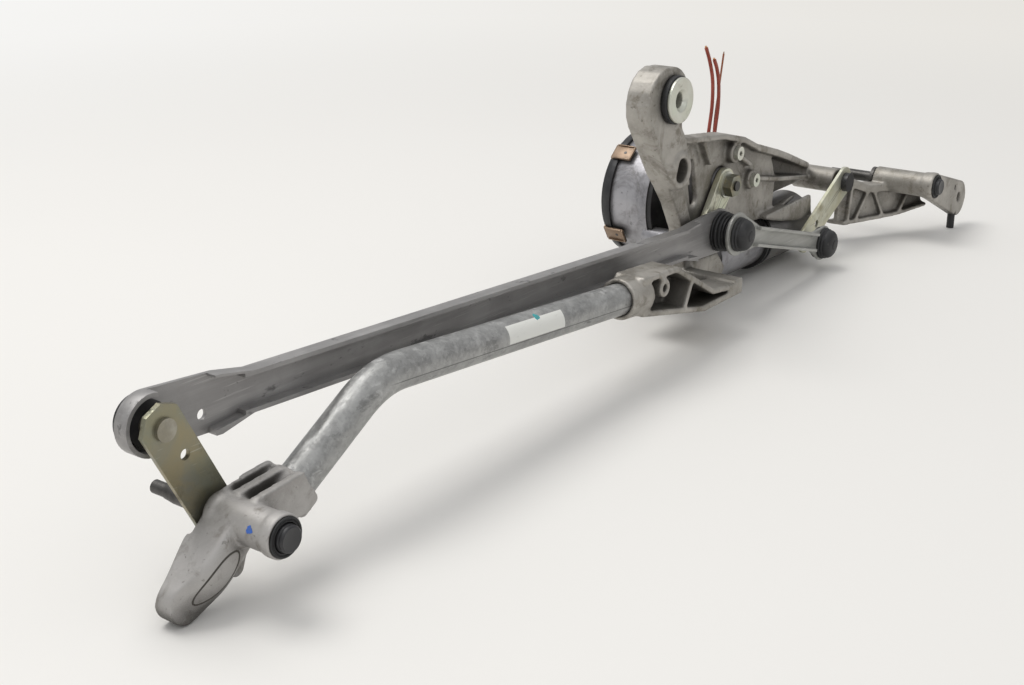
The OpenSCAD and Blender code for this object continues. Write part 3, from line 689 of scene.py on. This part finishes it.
class Piece:
    """A new mesh piece under construction."""

    def __init__(self, name: str) -> None:
        """Opens an empty mesh.

        Args:
            name: name of the piece.
        """
        self.name = name
        self.mesh = bmesh.new()

    def place(self, matrix: Matrix) -> "Piece":
        """Moves all that has been made so far."""
        bmesh.ops.transform(self.mesh, matrix=matrix, verts=self.mesh.verts)
        return self

    def spun(self, profile: Iterable[tuple[float, float]], steps: int = 48) -> "Piece":
        """Adds a turned body.

        Args:
            profile: radius and height pairs in metres, from the axis and back to it.
            steps: facets round the axis.

        Returns:
            The piece itself.
        """
        verts = [self.mesh.verts.new((r, 0.0, h)) for r, h in profile]
        edges = [self.mesh.edges.new(pair) for pair in zip(verts, verts[1:])]
        bmesh.ops.spin(
            self.mesh,
            geom=verts + edges,
            cent=(0, 0, 0),
            axis=(0, 0, 1),
            angle=math.tau,
            steps=steps,
            use_merge=True,
        )
        bmesh.ops.remove_doubles(self.mesh, verts=self.mesh.verts, dist=1e-6)
        bmesh.ops.recalc_face_normals(self.mesh, faces=self.mesh.faces)
        return self

    def skin(
        self, rings: Sequence[Sequence[Vector]], closed: bool = True, joined: bool = False
    ) -> "Piece":
        """Adds quads between rows of points.

        Args:
            rings: rows with the same number of points.
            closed: each row runs round to its start.
            joined: the last row runs on to the first.

        Returns:
            The piece itself.
        """
        rows = [[self.mesh.verts.new(p) for p in ring] for ring in rings]
        pairs = list(zip(rows, rows[1:])) + ([(rows[-1], rows[0])] if joined else [])
        count = len(rows[0])
        for low, high in pairs:
            for k in range(count if closed else count - 1):
                n = (k + 1) % count
                self.mesh.faces.new((low[k], low[n], high[n], high[k]))
        bmesh.ops.recalc_face_normals(self.mesh, faces=self.mesh.faces)
        return self

    def brick(self, size: Sequence[float], place: Matrix, edge: float) -> "Piece":
        """Adds a box with rounded edges.

        Args:
            size: sides in metres.
            place: where its middle goes.
            edge: radius of the edges.

        Returns:
            The piece itself.
        """
        made = bmesh.ops.create_cube(self.mesh, size=1.0, matrix=place @ Matrix.Diagonal((*size, 1.0)))
        edges = list({e for v in made["verts"] for e in v.link_edges})
        bmesh.ops.bevel(
            self.mesh, geom=edges, offset=edge, affect="EDGES", segments=2, profile=0.5, material=-1
        )
        return self

    def done(self, material: bpy.types.Material, slot: str, body: Body) -> bpy.types.Object:
        """Closes the mesh, shades it smooth and puts the piece on its body.

        Args:
            material: finish of the piece.
            slot: record slot that the finish comes from; not used.
            body: body that carries it.

        Returns:
            The object.
        """
        data = bpy.data.meshes.new(self.name)
        self.mesh.to_mesh(data)
        self.mesh.free()
        data.materials.append(material)
        data.polygons.foreach_set("use_smooth", [True] * len(data.polygons))
        data.set_sharp_from_angle(angle=SHARP_ANGLE)
        made = linked(self.name, data)
        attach(made, body.value)
        LOG.info("piece %s on %s", self.name, body.value)
        return made


@dataclass(frozen=True)
class Softening:
    """Rounded edges that a casting or pressing gets over its CAD solid."""

    width: float
    segments: int = 2
    angle: float = 32.0

    def on(self, made: bpy.types.Object) -> None:
        """Adds the modifiers that join the facets and round the edges."""
        weld = made.modifiers.new("join", "WELD")
        weld.merge_threshold = 1e-6
        bevel = made.modifiers.new("round", "BEVEL")
        bevel.width = self.width
        bevel.segments = self.segments
        bevel.limit_method = "ANGLE"
        bevel.angle_limit = math.radians(self.angle)
        bevel.use_clamp_overlap = True
        bevel.harden_normals = True


class Solids:
    """The carried-over CAD nodes."""

    ROUNDING = {
        "lug_buffer": Softening(0.0005),
        "wire_grommet": Softening(0.0020),
        "gear_housing": Softening(0.0008),
        "gear_cover": Softening(0.0006),
        "long_rod": Softening(0.0005),
        "short_rod": Softening(0.0005),
        "left_lever": Softening(0.0004),
        "right_lever": Softening(0.0004),
        "crank_arm": Softening(0.0005),
        "motor_yoke": Softening(0.0015),
        "plug_shell": Softening(0.0010),
        "mount_sleeve": Softening(0.0005),
        "mount_grommet": Softening(0.0008),
    }

    SPECIAL = {"right_lever": PALE_LEVER, "crank_arm": PALE_LEVER}

    def __init__(self, frame: dict, paints: Paints) -> None:
        """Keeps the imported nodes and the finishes.

        Args:
            paints: materials by finish.
        """
        self.nodes = frame["nodes"]
        self.slots = {part["node"]: part["material_slot"] for part in frame["record"]["subparts"]}
        self.paints = paints

    def dress(self) -> None:
        """Gives every node its finish and the large ones their rounded edges."""
        for name, made in self.nodes.items():
            material = self.paints(self.SPECIAL.get(name, FINISHES[self.slots[name]]))
            made.data.materials.clear()
            made.data.materials.append(material)
            if name in self.ROUNDING:
                self.ROUNDING[name].on(made)
            LOG.info("node %s in %s", name, self.slots[name])


@dataclass(frozen=True)
class Casting:
    """One seamless skin over touching nodes of a casting, with rounded edges and corners.

    The grain turns the skin into fine even facets, which are then smoothed, shaped and thinned out.
    """

    name: str
    nodes: tuple[str, ...]
    finish: Finish
    slot: str
    grain: float
    passes: int
    share: float
    shape: Callable[[Vector], Vector] | None = None

    def build(self, nodes: dict[str, bpy.types.Object], paints: Paints) -> bpy.types.Object:
        """Makes the skin and lets it stand for the nodes.

        Args:
            nodes: the carried-over CAD nodes by name.
            paints: materials by finish.

        Returns:
            The skin.
        """
        made = linked(self.name, nodes[self.nodes[0]].data.copy())
        for other in self.nodes[1:]:
            union = made.modifiers.new("union", "BOOLEAN")
            union.operation = "UNION"
            union.solver = "EXACT"
            union.object = nodes[other]
        even = made.modifiers.new("even", "REMESH")
        even.mode = "VOXEL"
        even.voxel_size = self.grain
        self.soften(self.applied(made))
        thin = made.modifiers.new("thin", "DECIMATE")
        thin.ratio = self.share
        skin = self.applied(made)
        skin.materials.clear()
        skin.materials.append(paints(self.finish))
        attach(made, Body.FRAME.value)
        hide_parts(*self.nodes)
        LOG.info("casting %s, %d faces", self.name, len(skin.polygons))
        return made

    @staticmethod
    def applied(made: bpy.types.Object) -> bpy.types.Mesh:
        """Turns what the modifiers make into the object's own mesh.

        Args:
            made: object with modifiers.

        Returns:
            The new mesh.
        """
        graph = bpy.context.evaluated_depsgraph_get()
        skin = bpy.data.meshes.new_from_object(made.evaluated_get(graph))
        made.modifiers.clear()
        made.data = skin
        return skin

    def soften(self, skin: bpy.types.Mesh) -> None:
        """Smooths the even facets and moves them to their final shape.

        Args:
            skin: mesh to change.
        """
        mesh = bmesh.new()
        mesh.from_mesh(skin)
        for _ in range(self.passes):
            bmesh.ops.smooth_vert(
                mesh, verts=mesh.verts, factor=0.5, use_axis_x=True, use_axis_y=True, use_axis_z=True
            )
        if self.shape:
            for vert in mesh.verts:
                vert.co = self.shape(vert.co)
        mesh.to_mesh(skin)
        mesh.free()
        skin.polygons.foreach_set("use_smooth", [True] * len(skin.polygons))


@dataclass(frozen=True)
class PaddleTaper:
    """Narrows the paddle foot of the left housing towards its tip, in millimetres of the drawing.

    The taper starts at a share of the paddle's length and is full after a span of it.
    """

    root: tuple[float, float] = (-3.0, 40.0)
    way: tuple[float, float] = (-0.742, -0.670)
    length: float = 41.8
    start: float = 0.28
    span: float = 0.9
    front: float = -28.0
    depth: float = 29.0
    front_cut: float = 10.0
    back_cut: float = 6.0

    def __call__(self, point: Vector) -> Vector:
        """Moves one point of the skin.

        Args:
            point: point in the row frame.

        Returns:
            The moved point.
        """
        x, y, z = (point - SHIFT) * 1000.0
        reach = ((x - self.root[0]) * self.way[0] + (z - self.root[1]) * self.way[1]) / self.length
        share = min(1.0, max(0.0, (reach - self.start) / self.span))
        ease = share * share * (3.0 - 2.0 * share)
        far = min(1.0, max(0.0, (y - self.front) / self.depth))
        return spot(x, y - self.back_cut * ease * far + self.front_cut * ease * ease * (1.0 - far), z)


BRACKET = ("main_bracket", "bracket_ear", "bracket_foot", "bracket_arm", "bracket_truss")
CASTINGS = (
    Casting("casting", BRACKET, FINISHES["cast_alloy"], "cast_alloy", 0.0010, 5, 0.40),
    Casting(
        "left_casting", ("left_housing",), CLEAN_ALLOY, "cast_alloy", 0.0008, 9, 0.6, PaddleTaper()
    ),
)


@dataclass(frozen=True)
class Scribe:
    """An oval line in the face of a casting, drawn on its skin as seen from the front."""

    name: str
    casting: str
    middle: tuple[float, float]
    half: tuple[float, float]
    turn: float
    width: float = 0.00055
    rise: float = 0.00012
    points: int = 72
    sides: int = 6
    start_depth: float = -60.0

    def build(self, paints: Paints) -> bpy.types.Object:
        """Makes the line as a thin half-sunk bead.

        Args:
            paints: materials by finish.

        Returns:
            The line.
        """
        skin = bpy.data.objects[self.casting]
        c, n = math.cos(math.radians(self.turn)), math.sin(math.radians(self.turn))
        track = []
        for k in range(self.points):
            a = math.tau * k / self.points
            u, v = self.half[0] * math.cos(a), self.half[1] * math.sin(a)
            across, up = self.middle[0] + u * c - v * n, self.middle[1] + u * n + v * c
            found, place, normal, _ = skin.ray_cast(
                spot(across, self.start_depth, up), Vector((0.0, 1.0, 0.0))
            )
            if found:
                track.append((place, normal))
        turns = [math.tau * m / self.sides for m in range(self.sides)]
        rows = []
        for k, (place, normal) in enumerate(track):
            ahead = (track[(k + 1) % len(track)][0] - track[k - 1][0]).normalized()
            side = normal.cross(ahead).normalized()
            rows.append([
                place + (side * math.cos(t) * self.width + normal * math.sin(t) * self.rise)
                for t in turns
            ])
        piece = Piece(self.name).skin(rows, joined=True)
        return piece.done(paints(LINE), "cast_alloy", Body.FRAME)


SCRIBES = (Scribe("paddle_line", "left_casting", (-22.0, 22.5), (16.0, 6.0), 42.0),)


@dataclass
class CutWire:
    """A short wire that was cut off at the motor."""

    node: str
    slot: str
    diameter: float
    route: tuple[tuple[float, float, float], ...]
    core_share: float = 0.27

    def line(self, steps: int = 6) -> list[Vector]:
        """Smooth curve through the route points.

        Args:
            steps: points between two route points.

        Returns:
            Points in the row frame.
        """
        pts = [spot(*p) for p in self.route]
        ends = [pts[0] * 2 - pts[1], *pts, pts[-1] * 2 - pts[-2]]
        line: list[Vector] = []
        for a, b, c, d in zip(ends, ends[1:], ends[2:], ends[3:]):
            for k in range(steps):
                t = k / steps
                line.append(
                    0.5
                    * (
                        2 * b
                        + (c - a) * t
                        + (2 * a - 5 * b + 4 * c - d) * t * t
                        + (3 * b - a - 3 * c + d) * t**3
                    )
                )
        return line + [pts[-1]]

    def build(self, paints: Paints) -> bpy.types.Object:
        """Args:
            paints: materials by finish.

        Returns:
            The wire.
        """
        line = self.line()
        data = bpy.data.curves.new(self.node + "_cover", "CURVE")
        data.dimensions = "3D"
        data.bevel_depth = self.diameter / 2
        data.bevel_resolution = 3
        data.use_fill_caps = True
        spline = data.splines.new("POLY")
        spline.points.add(len(line) - 1)
        for point, co in zip(spline.points, line):
            point.co = (*co, 1.0)
        spline.use_smooth = True
        data.materials.append(paints(FINISHES[self.slot]))
        made = linked(self.node + "_cover", data)
        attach(made, Body.FRAME.value)
        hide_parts(self.node)
        length = sum((b - a).length for a, b in zip(line, line[1:]))
        core = self.diameter * self.core_share
        tip = ((0.0, -0.001), (core, -0.001), (core, 0.0016), (0.0, 0.0018))
        strand = Piece(self.node + "_strand").spun(tip, 16)
        ahead = (line[-1] - line[-2]).to_track_quat("Z", "Y").to_matrix().to_4x4()
        end = strand.place(Matrix.Translation(line[-1]) @ ahead)
        end = end.done(paints(FINISHES["winding"]), "winding", Body.FRAME)
        LOG.info("wire %s, %.0f mm", self.node, length * 1000)
        return made


WIRES = (
    CutWire(
        "wire_one",
        "red_wire",
        0.003,
        ((601, 61, 120), (603, 61, 132), (606, 61, 150), (605, 61, 170), (599, 61, 186), (592, 61, 198)),
    ),
    CutWire(
        "wire_two",
        "red_wire",
        0.003,
        ((604, 57, 120), (606, 57, 132), (609, 57, 150), (608, 57, 168), (604, 57, 180), (599, 57, 188)),
    ),
    CutWire(
        "wire_thin",
        "brown_wire",
        0.0016,
        ((608, 60, 120), (610, 60, 140), (612, 59, 160), (613, 58, 176), (614, 57, 191)),
    ),
)


def along_depth(x: float, y: float, z: float) -> Matrix:
    """Frame at a point of the drawing whose +Z runs along the depth, away from the viewer."""
    return Matrix.Translation(spot(x, y, z)) @ Matrix.Rotation(math.radians(-90), 4, "X")


@dataclass(frozen=True)
class Turned:
    """A turned piece on an axis along the depth, in millimetres.

    The profile gives radius and depth pairs, depth 0 at the given point.
    """

    name: str
    place: tuple[float, float, float]
    profile: tuple[tuple[float, float], ...]
    finish: str
    body: Body
    stands_for: str
    steps: int = 56

    def build(self, paints: Paints) -> bpy.types.Object:
        """Makes the piece.

        Args:
            paints: materials by finish.

        Returns:
            The piece.
        """
        profile = [(r / 1000, h / 1000) for r, h in self.profile]
        piece = Piece(self.name).spun(profile, self.steps).place(along_depth(*self.place))
        made = piece.done(paints(FINISHES[self.finish]), self.finish, self.body)
        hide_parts(self.stands_for)
        return made


def dome(name: str, ball: tuple[float, float, float], neck: float, room: float, node: str) -> Turned:
    """Ball socket of the short rod: ribbed foot, domed front with a flat nose, room for the ball.

    Args:
        name: name of the piece.
        ball: centre of the ball.
        neck: radius of the groove that holds the eye of the rod.
        room: radius of the room for the ball.
        node: CAD node that it stands for.

    Returns:
        The piece to build.
    """
    profile = (
        (room, 2.0), (12.9, 2.0), (13.4, 1.5), (13.4, -1.0), (13.0, -1.45), (neck, -1.45),
        (neck, -4.05), (13.1, -4.05), (13.5, -4.5), (13.5, -5.6), (13.0, -6.2), (12.5, -6.6),
        (12.7, -7.2), (12.9, -7.9), (12.4, -8.5), (12.1, -8.9), (12.2, -9.6), (12.0, -10.6),
        (11.4, -11.9), (10.4, -13.0), (9.0, -13.9), (7.2, -14.6), (5.4, -15.0), (4.5, -15.1),
        (4.2, -15.5), (3.6, -15.7), (0.0, -15.7),
    )
    hollow = ((0.0, -11.2), (room - 1.0, -11.2), (room, -10.2), (room, 2.0))
    return Turned(name, ball, profile + hollow, "black_rubber", Body.SHORT_ROD, node)


def cap(name: str, shaft: tuple[float, float, float], body: Body, node: str) -> Turned:
    """Rubber cap on the front end of a shaft.

    Args:
        name: name of the piece.
        shaft: point of the shaft's axis at depth 0.
        body: body that carries it.
        node: CAD node that it stands for.

    Returns:
        The piece to build.
    """
    profile = (
        (0.0, -55.6), (5.6, -55.6), (6.3, -55.75), (6.9, -55.3), (7.2, -54.6), (7.1, -53.4),
        (7.45, -52.9), (7.45, -50.6), (7.1, -50.1), (7.1, -47.7), (5.02, -47.7), (5.02, -52.95),
        (0.0, -52.95),
    )
    return Turned(name, shaft, profile, "black_plastic", body, node)


def lip(name: str, shaft: tuple[float, float, float], node: str) -> Turned:
    """Sealing ring in the mouth of a bearing, with two lips.

    Args:
        name: name of the piece.
        shaft: point of the shaft's axis at depth 0.
        node: CAD node that it stands for.

    Returns:
        The piece to build.
    """
    profile = (
        (8.0, -47.05), (9.68, -47.05), (9.68, -51.0), (10.6, -51.1), (10.7, -51.7), (10.2, -52.1),
        (9.5, -51.8), (9.2, -51.3), (8.8, -51.4), (8.5, -51.9), (8.1, -51.9), (8.0, -51.5),
        (8.0, -47.05),
    )
    return Turned(name, shaft, profile, "black_rubber", Body.FRAME, node)


TURNED = (
    Turned(
        "bellows",
        CRANK_BALL,
        (
            (8.75, 13.0), (13.6, 13.0), (15.2, 12.6), (16.0, 11.7), (15.7, 10.8), (14.2, 10.3),
            (14.0, 9.8), (15.4, 9.2), (15.9, 8.5), (15.4, 7.7), (13.8, 7.2), (13.7, 6.7),
            (14.9, 6.1), (15.2, 5.4), (14.6, 4.7), (13.0, 4.3), (12.9, 3.8), (13.6, 3.4),
            (13.5, 2.8), (12.6, 2.5), (8.75, 2.5), (8.75, 13.0),
        ),
        "black_rubber",
        Body.LONG_ROD,
        "long_boot",
    ),
    dome("crank_dome", CRANK_BALL, 10.9, 8.75, "short_crank_socket"),
    dome("lever_dome", RIGHT_BALL, 10.4, 6.25, "short_lever_socket"),
    cap("left_cap_skin", LEFT_SHAFT, Body.LEFT_LEVER, "left_cap"),
    cap("idler_cap_skin", IDLER_SHAFT, Body.IDLER, "idler_cap"),
    lip("left_lip", LEFT_SHAFT, "left_seal"),
    lip("idler_lip", IDLER_SHAFT, "idler_seal"),
)


@dataclass(frozen=True)
class StarDrive:
    """Six-lobed socket in the head of a screw."""

    name: str
    place: tuple[float, float, float]
    radius: float = 2.49
    lobes: int = 6
    mean: float = 0.76
    swing: float = 0.15
    top: float = 0.12
    foot: float = 1.9
    steps: int = 60

    def build(self, paints: Paints) -> bpy.types.Object:
        """Makes the rim that turns the round recess into a six-lobed one.

        Args:
            paints: materials by finish.

        Returns:
            The piece.
        """
        turns = [math.tau * k / self.steps for k in range(self.steps)]
        star = [self.radius * (self.mean + self.swing * math.cos(self.lobes * a)) for a in turns]
        edge = [self.radius] * self.steps
        rings = [
            [Vector((r * math.cos(a), r * math.sin(a), depth)) / 1000 for r, a in zip(radii, turns)]
            for radii, depth in ((edge, self.foot), (edge, self.top), (star, self.top), (star, self.foot))
        ]
        piece = Piece(self.name).skin(rings, joined=True).place(along_depth(*self.place))
        return piece.done(paints(FINISHES["pale_zinc"]), "pale_zinc", Body.FRAME)


STARS = (
    StarDrive("upper_star", (580, 18.5, 120)),
    StarDrive("right_star", (612, 19.5, 92)),
    StarDrive("lower_star", (508, 24.0, 62)),
    StarDrive("boss_star", (478, 20.5, 126)),
)


@dataclass(frozen=True)
class SpringClip:
    """Folded spring clip over the rim of the gear cover."""

    name: str
    angle: float
    node: str

    # Strap, front lip, back hook and two side folds: middle and sides, in millimetres from the gear axis
    FOLDS = (
        ((49.6, 86.3, 0.0), (1.1, 18.0, 12.5)),
        ((50.3, 77.9, 0.0), (2.4, 1.2, 12.5)),
        ((47.4, 94.8, 0.0), (5.5, 1.2, 12.5)),
        ((50.2, 86.5, 6.1), (2.0, 15.0, 0.9)),
        ((50.2, 86.5, -6.1), (2.0, 15.0, 0.9)),
    )
    HOLE_PLACE = (0.0501, 0.0845, 0.0)
    HOLE = ((0.0, 0.0), (0.0013, 0.0), (0.0013, 0.0002), (0.0, 0.0002))

    def build(self, paints: Paints) -> bpy.types.Object:
        """Makes the clip with its strap, turned-up front lip, back hook and small hole.

        Args:
            paints: materials by finish.

        Returns:
            The clip.
        """
        turn = Matrix.Translation(spot(*GEAR_AXIS)) @ Matrix.Rotation(math.radians(-self.angle), 4, "Y")
        piece = Piece(self.name)
        for at, size in self.FOLDS:
            place = turn @ Matrix.Translation(Vector(at) / 1000)
            piece.brick([n / 1000 for n in size], place, 0.0003)
        made = piece.done(paints(FINISHES["copper_clip"]), "copper_clip", Body.FRAME)
        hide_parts(self.node)
        hole = Piece(self.name + "_hole").spun(self.HOLE, 20)
        tip = Matrix.Translation(self.HOLE_PLACE) @ Matrix.Rotation(math.radians(90), 4, "Y")
        hole.place(turn @ tip).done(paints(FINISHES["dark_steel"]), "dark_steel", Body.FRAME)
        return made


CLIPS = (
    SpringClip("upper_spring", 131.0, "upper_clip"),
    SpringClip("lower_spring", 212.0, "lower_clip"),
)


@dataclass(frozen=True)
class Wrap:
    """A thin patch that lies round a bar: a sticker, or a dab of paint with a wavy edge.

    The patch is given by its reach along the bar, in millimetres from start, and by its angles from the
    top of the bar towards the viewer.
    """

    name: str
    start: tuple[float, float, float]
    way: tuple[float, float, float]
    radius: float
    reach: tuple[float, float]
    turn: tuple[float, float]
    finish: Finish
    slot: str
    dab: bool = False
    thickness: float = 0.00012
    lift: float = 0.00003

    def point(self, u: float, v: float) -> Vector:
        """Point of the patch.

        Args:
            u: place along the bar, from -1 to 1.
            v: place round the bar, from -1 to 1.

        Returns:
            The point in the row frame.
        """
        height = self.lift + self.thickness * (1.0 - max(abs(u), abs(v)) ** 8)
        if self.dab:
            u, v = u * math.sqrt(1 - v * v / 2), v * math.sqrt(1 - u * u / 2)
            around = math.atan2(v, u)
            wave = 1.0 + 0.16 * math.sin(3.0 * around + 0.8) + 0.08 * math.sin(7.0 * around)
            u, v = u * wave, v * wave
        along = (self.reach[0] * (1 - u) + self.reach[1] * (1 + u)) / 2000
        angle = math.radians((self.turn[0] * (1 - v) + self.turn[1] * (1 + v)) / 2)
        way = Vector(self.way).normalized()
        front = Vector((0, -1, 0)) if abs(way.y) < 0.5 else Vector((-1, 0, 0))
        up = front.cross(way) if front.cross(way).z > 0 else way.cross(front)
        out = up * math.cos(angle) + front * math.sin(angle)
        return spot(*self.start) + way * along + out * (self.radius / 1000 + height)

    def build(self, paints: Paints) -> bpy.types.Object:
        """Makes the patch.

        Args:
            paints: materials by finish.

        Returns:
            The patch.
        """
        steps = [k / 12 - 1.0 for k in range(25)]
        piece = Piece(self.name).skin([[self.point(u, v) for u in steps] for v in steps], closed=False)
        return piece.done(paints(self.finish), self.slot, Body.FRAME)


WRAPS = (
    Wrap("blank_sticker", *TUBE, (107, 165), (36, 98), LABEL, "galvanised_tube"),
    Wrap("teal_dab", *TUBE, (137, 142), (22, 52), TEAL, "galvanised_tube", True),
    Wrap("blue_dab", *BARREL, (35, 39), (59, 80), BLUE, "cast_alloy", True),
)


@dataclass
class Studio:
    """Pale floor, soft lamps and the camera."""

    eye: tuple[float, float, float] = (-0.8735, -0.5396, 0.373)
    tilt: float = 70.0
    heading: float = -53.2
    lens: float = 50.98
    sensor: float = 36.0
    aim: tuple[float, float, float] = (0.05, 0.0, 0.05)
    floor_size: float = 14.0
    floor_drop: float = 0.0004

    def camera(self) -> None:
        """Sets the camera at the photo's place."""
        data = bpy.data.cameras.new("camera")
        data.lens = self.lens
        data.sensor_width = self.sensor
        data.clip_start = 0.01
        made = linked("camera", data)
        made.location = self.eye
        made.rotation_euler = (math.radians(self.tilt), 0.0, math.radians(self.heading))
        bpy.context.scene.camera = made

    def floor(self) -> None:
        """Adds the pale floor; away from the linkage the camera sees a glowing floor in place of the lit
        one, painted lighter at the left of the view and darker at the right as light falling off.
        """
        mesh = bmesh.new()
        bmesh.ops.create_grid(mesh, x_segments=1, y_segments=1, size=self.floor_size)
        data = bpy.data.meshes.new("floor")
        mesh.to_mesh(data)
        mesh.free()
        s = Shader("floor_paint")
        shade = s.noise(1.3, 2.0, 0.5)
        pale = s.mix((0.84, 0.825, 0.795), (0.80, 0.785, 0.755), shade)
        data.materials.append(s.surface(base_color=pale, roughness=0.62))
        reach = s.node("ShaderNodeVectorMath", {"operation": "LENGTH"}, {0: s.place}).outputs["Value"]
        path = s.node("ShaderNodeLightPath").outputs
        kinds = ("Is Camera Ray", "Is Glossy Ray", "Is Transmission Ray")
        camera, glossy, through = (Field(s, path[kind]) for kind in kinds)
        x, y, _ = s.axes(*(SHIFT * -1000.0))
        # Painted light: the glow is lighter at the left of the view and darker at the right, as light
        # falling off across the floor
        painted_falloff = s.mix((0.93, 0.925, 0.91), (0.80, 0.78, 0.74), (x * 0.6 - y * 0.8).band(-1.6, 1.2))
        glow = s.node("ShaderNodeEmission", {}, {"Color": painted_falloff, "Strength": 1.0})
        seen = Field(s, reach).band(0.45, 1.9) * (camera + glossy + through)
        values = {0: seen, 1: s.bsdf.outputs[0], 2: glow.outputs[0]}
        s.feed(s.output.inputs["Surface"], s.node("ShaderNodeMixShader", {}, values).outputs[0])
        made = linked("floor", data)
        made.location.z = -self.floor_drop

    def lamp(self, name: str, place: Sequence[float], size: float, power: float, colour: Colour) -> None:
        """Adds one square soft lamp that looks at the middle of the linkage.

        Args:
            name: name of the lamp.
            place: position in metres.
            size: side in metres.
            power: watts.
            colour: light colour.
        """
        data = bpy.data.lights.new(name, "AREA")
        data.size = size
        data.energy = power
        data.color = colour
        made = linked(name, data)
        made.location = place
        made.rotation_euler = (Vector(self.aim) - Vector(place)).to_track_quat("-Z", "Y").to_euler()

    def build(self) -> None:
        """Sets floor, lamps, a sky that is brighter overhead, and the view."""
        self.floor()
        self.lamp("key", (-0.45, 0.95, 2.5), 1.5, 34.0, (1.0, 0.985, 0.96))
        self.lamp("fill", (-1.3, -1.6, 1.5), 1.6, 5.0, (0.97, 0.985, 1.0))
        world = bpy.data.worlds.new("studio_sky")
        world.use_nodes = True
        nodes, links = world.node_tree.nodes, world.node_tree.links
        split = nodes.new("ShaderNodeSeparateXYZ")
        links.new(nodes.new("ShaderNodeTexCoord").outputs["Generated"], split.inputs[0])
        rise = nodes.new("ShaderNodeMapRange")
        links.new(split.outputs["Z"], rise.inputs["Value"])
        for key, value in (("From Min", 0.0), ("From Max", 1.0), ("To Min", 0.36), ("To Max", 0.82)):
            rise.inputs[key].default_value = value
        sky = nodes["Background"]
        sky.inputs["Color"].default_value = (0.985, 0.99, 1.0, 1.0)
        links.new(rise.outputs["Result"], sky.inputs["Strength"])
        bpy.context.scene.world = world
        bpy.context.scene.view_settings.view_transform = "Standard"


def main() -> None:
    """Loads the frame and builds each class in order."""
    logging.basicConfig(level=logging.INFO, format="%(name)s: %(message)s")
    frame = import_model()
    studio = Studio()
    studio.camera()
    paints = Paints()
    for made in (*WIRES, *TURNED, *STARS, *CLIPS, *WRAPS):
        made.build(paints)
    for made in CASTINGS:
        made.build(frame["nodes"], paints)
    for made in SCRIBES:
        made.build(paints)
    Solids(frame, paints).dress()
    studio.build()


if __name__ == "__main__":
    main()
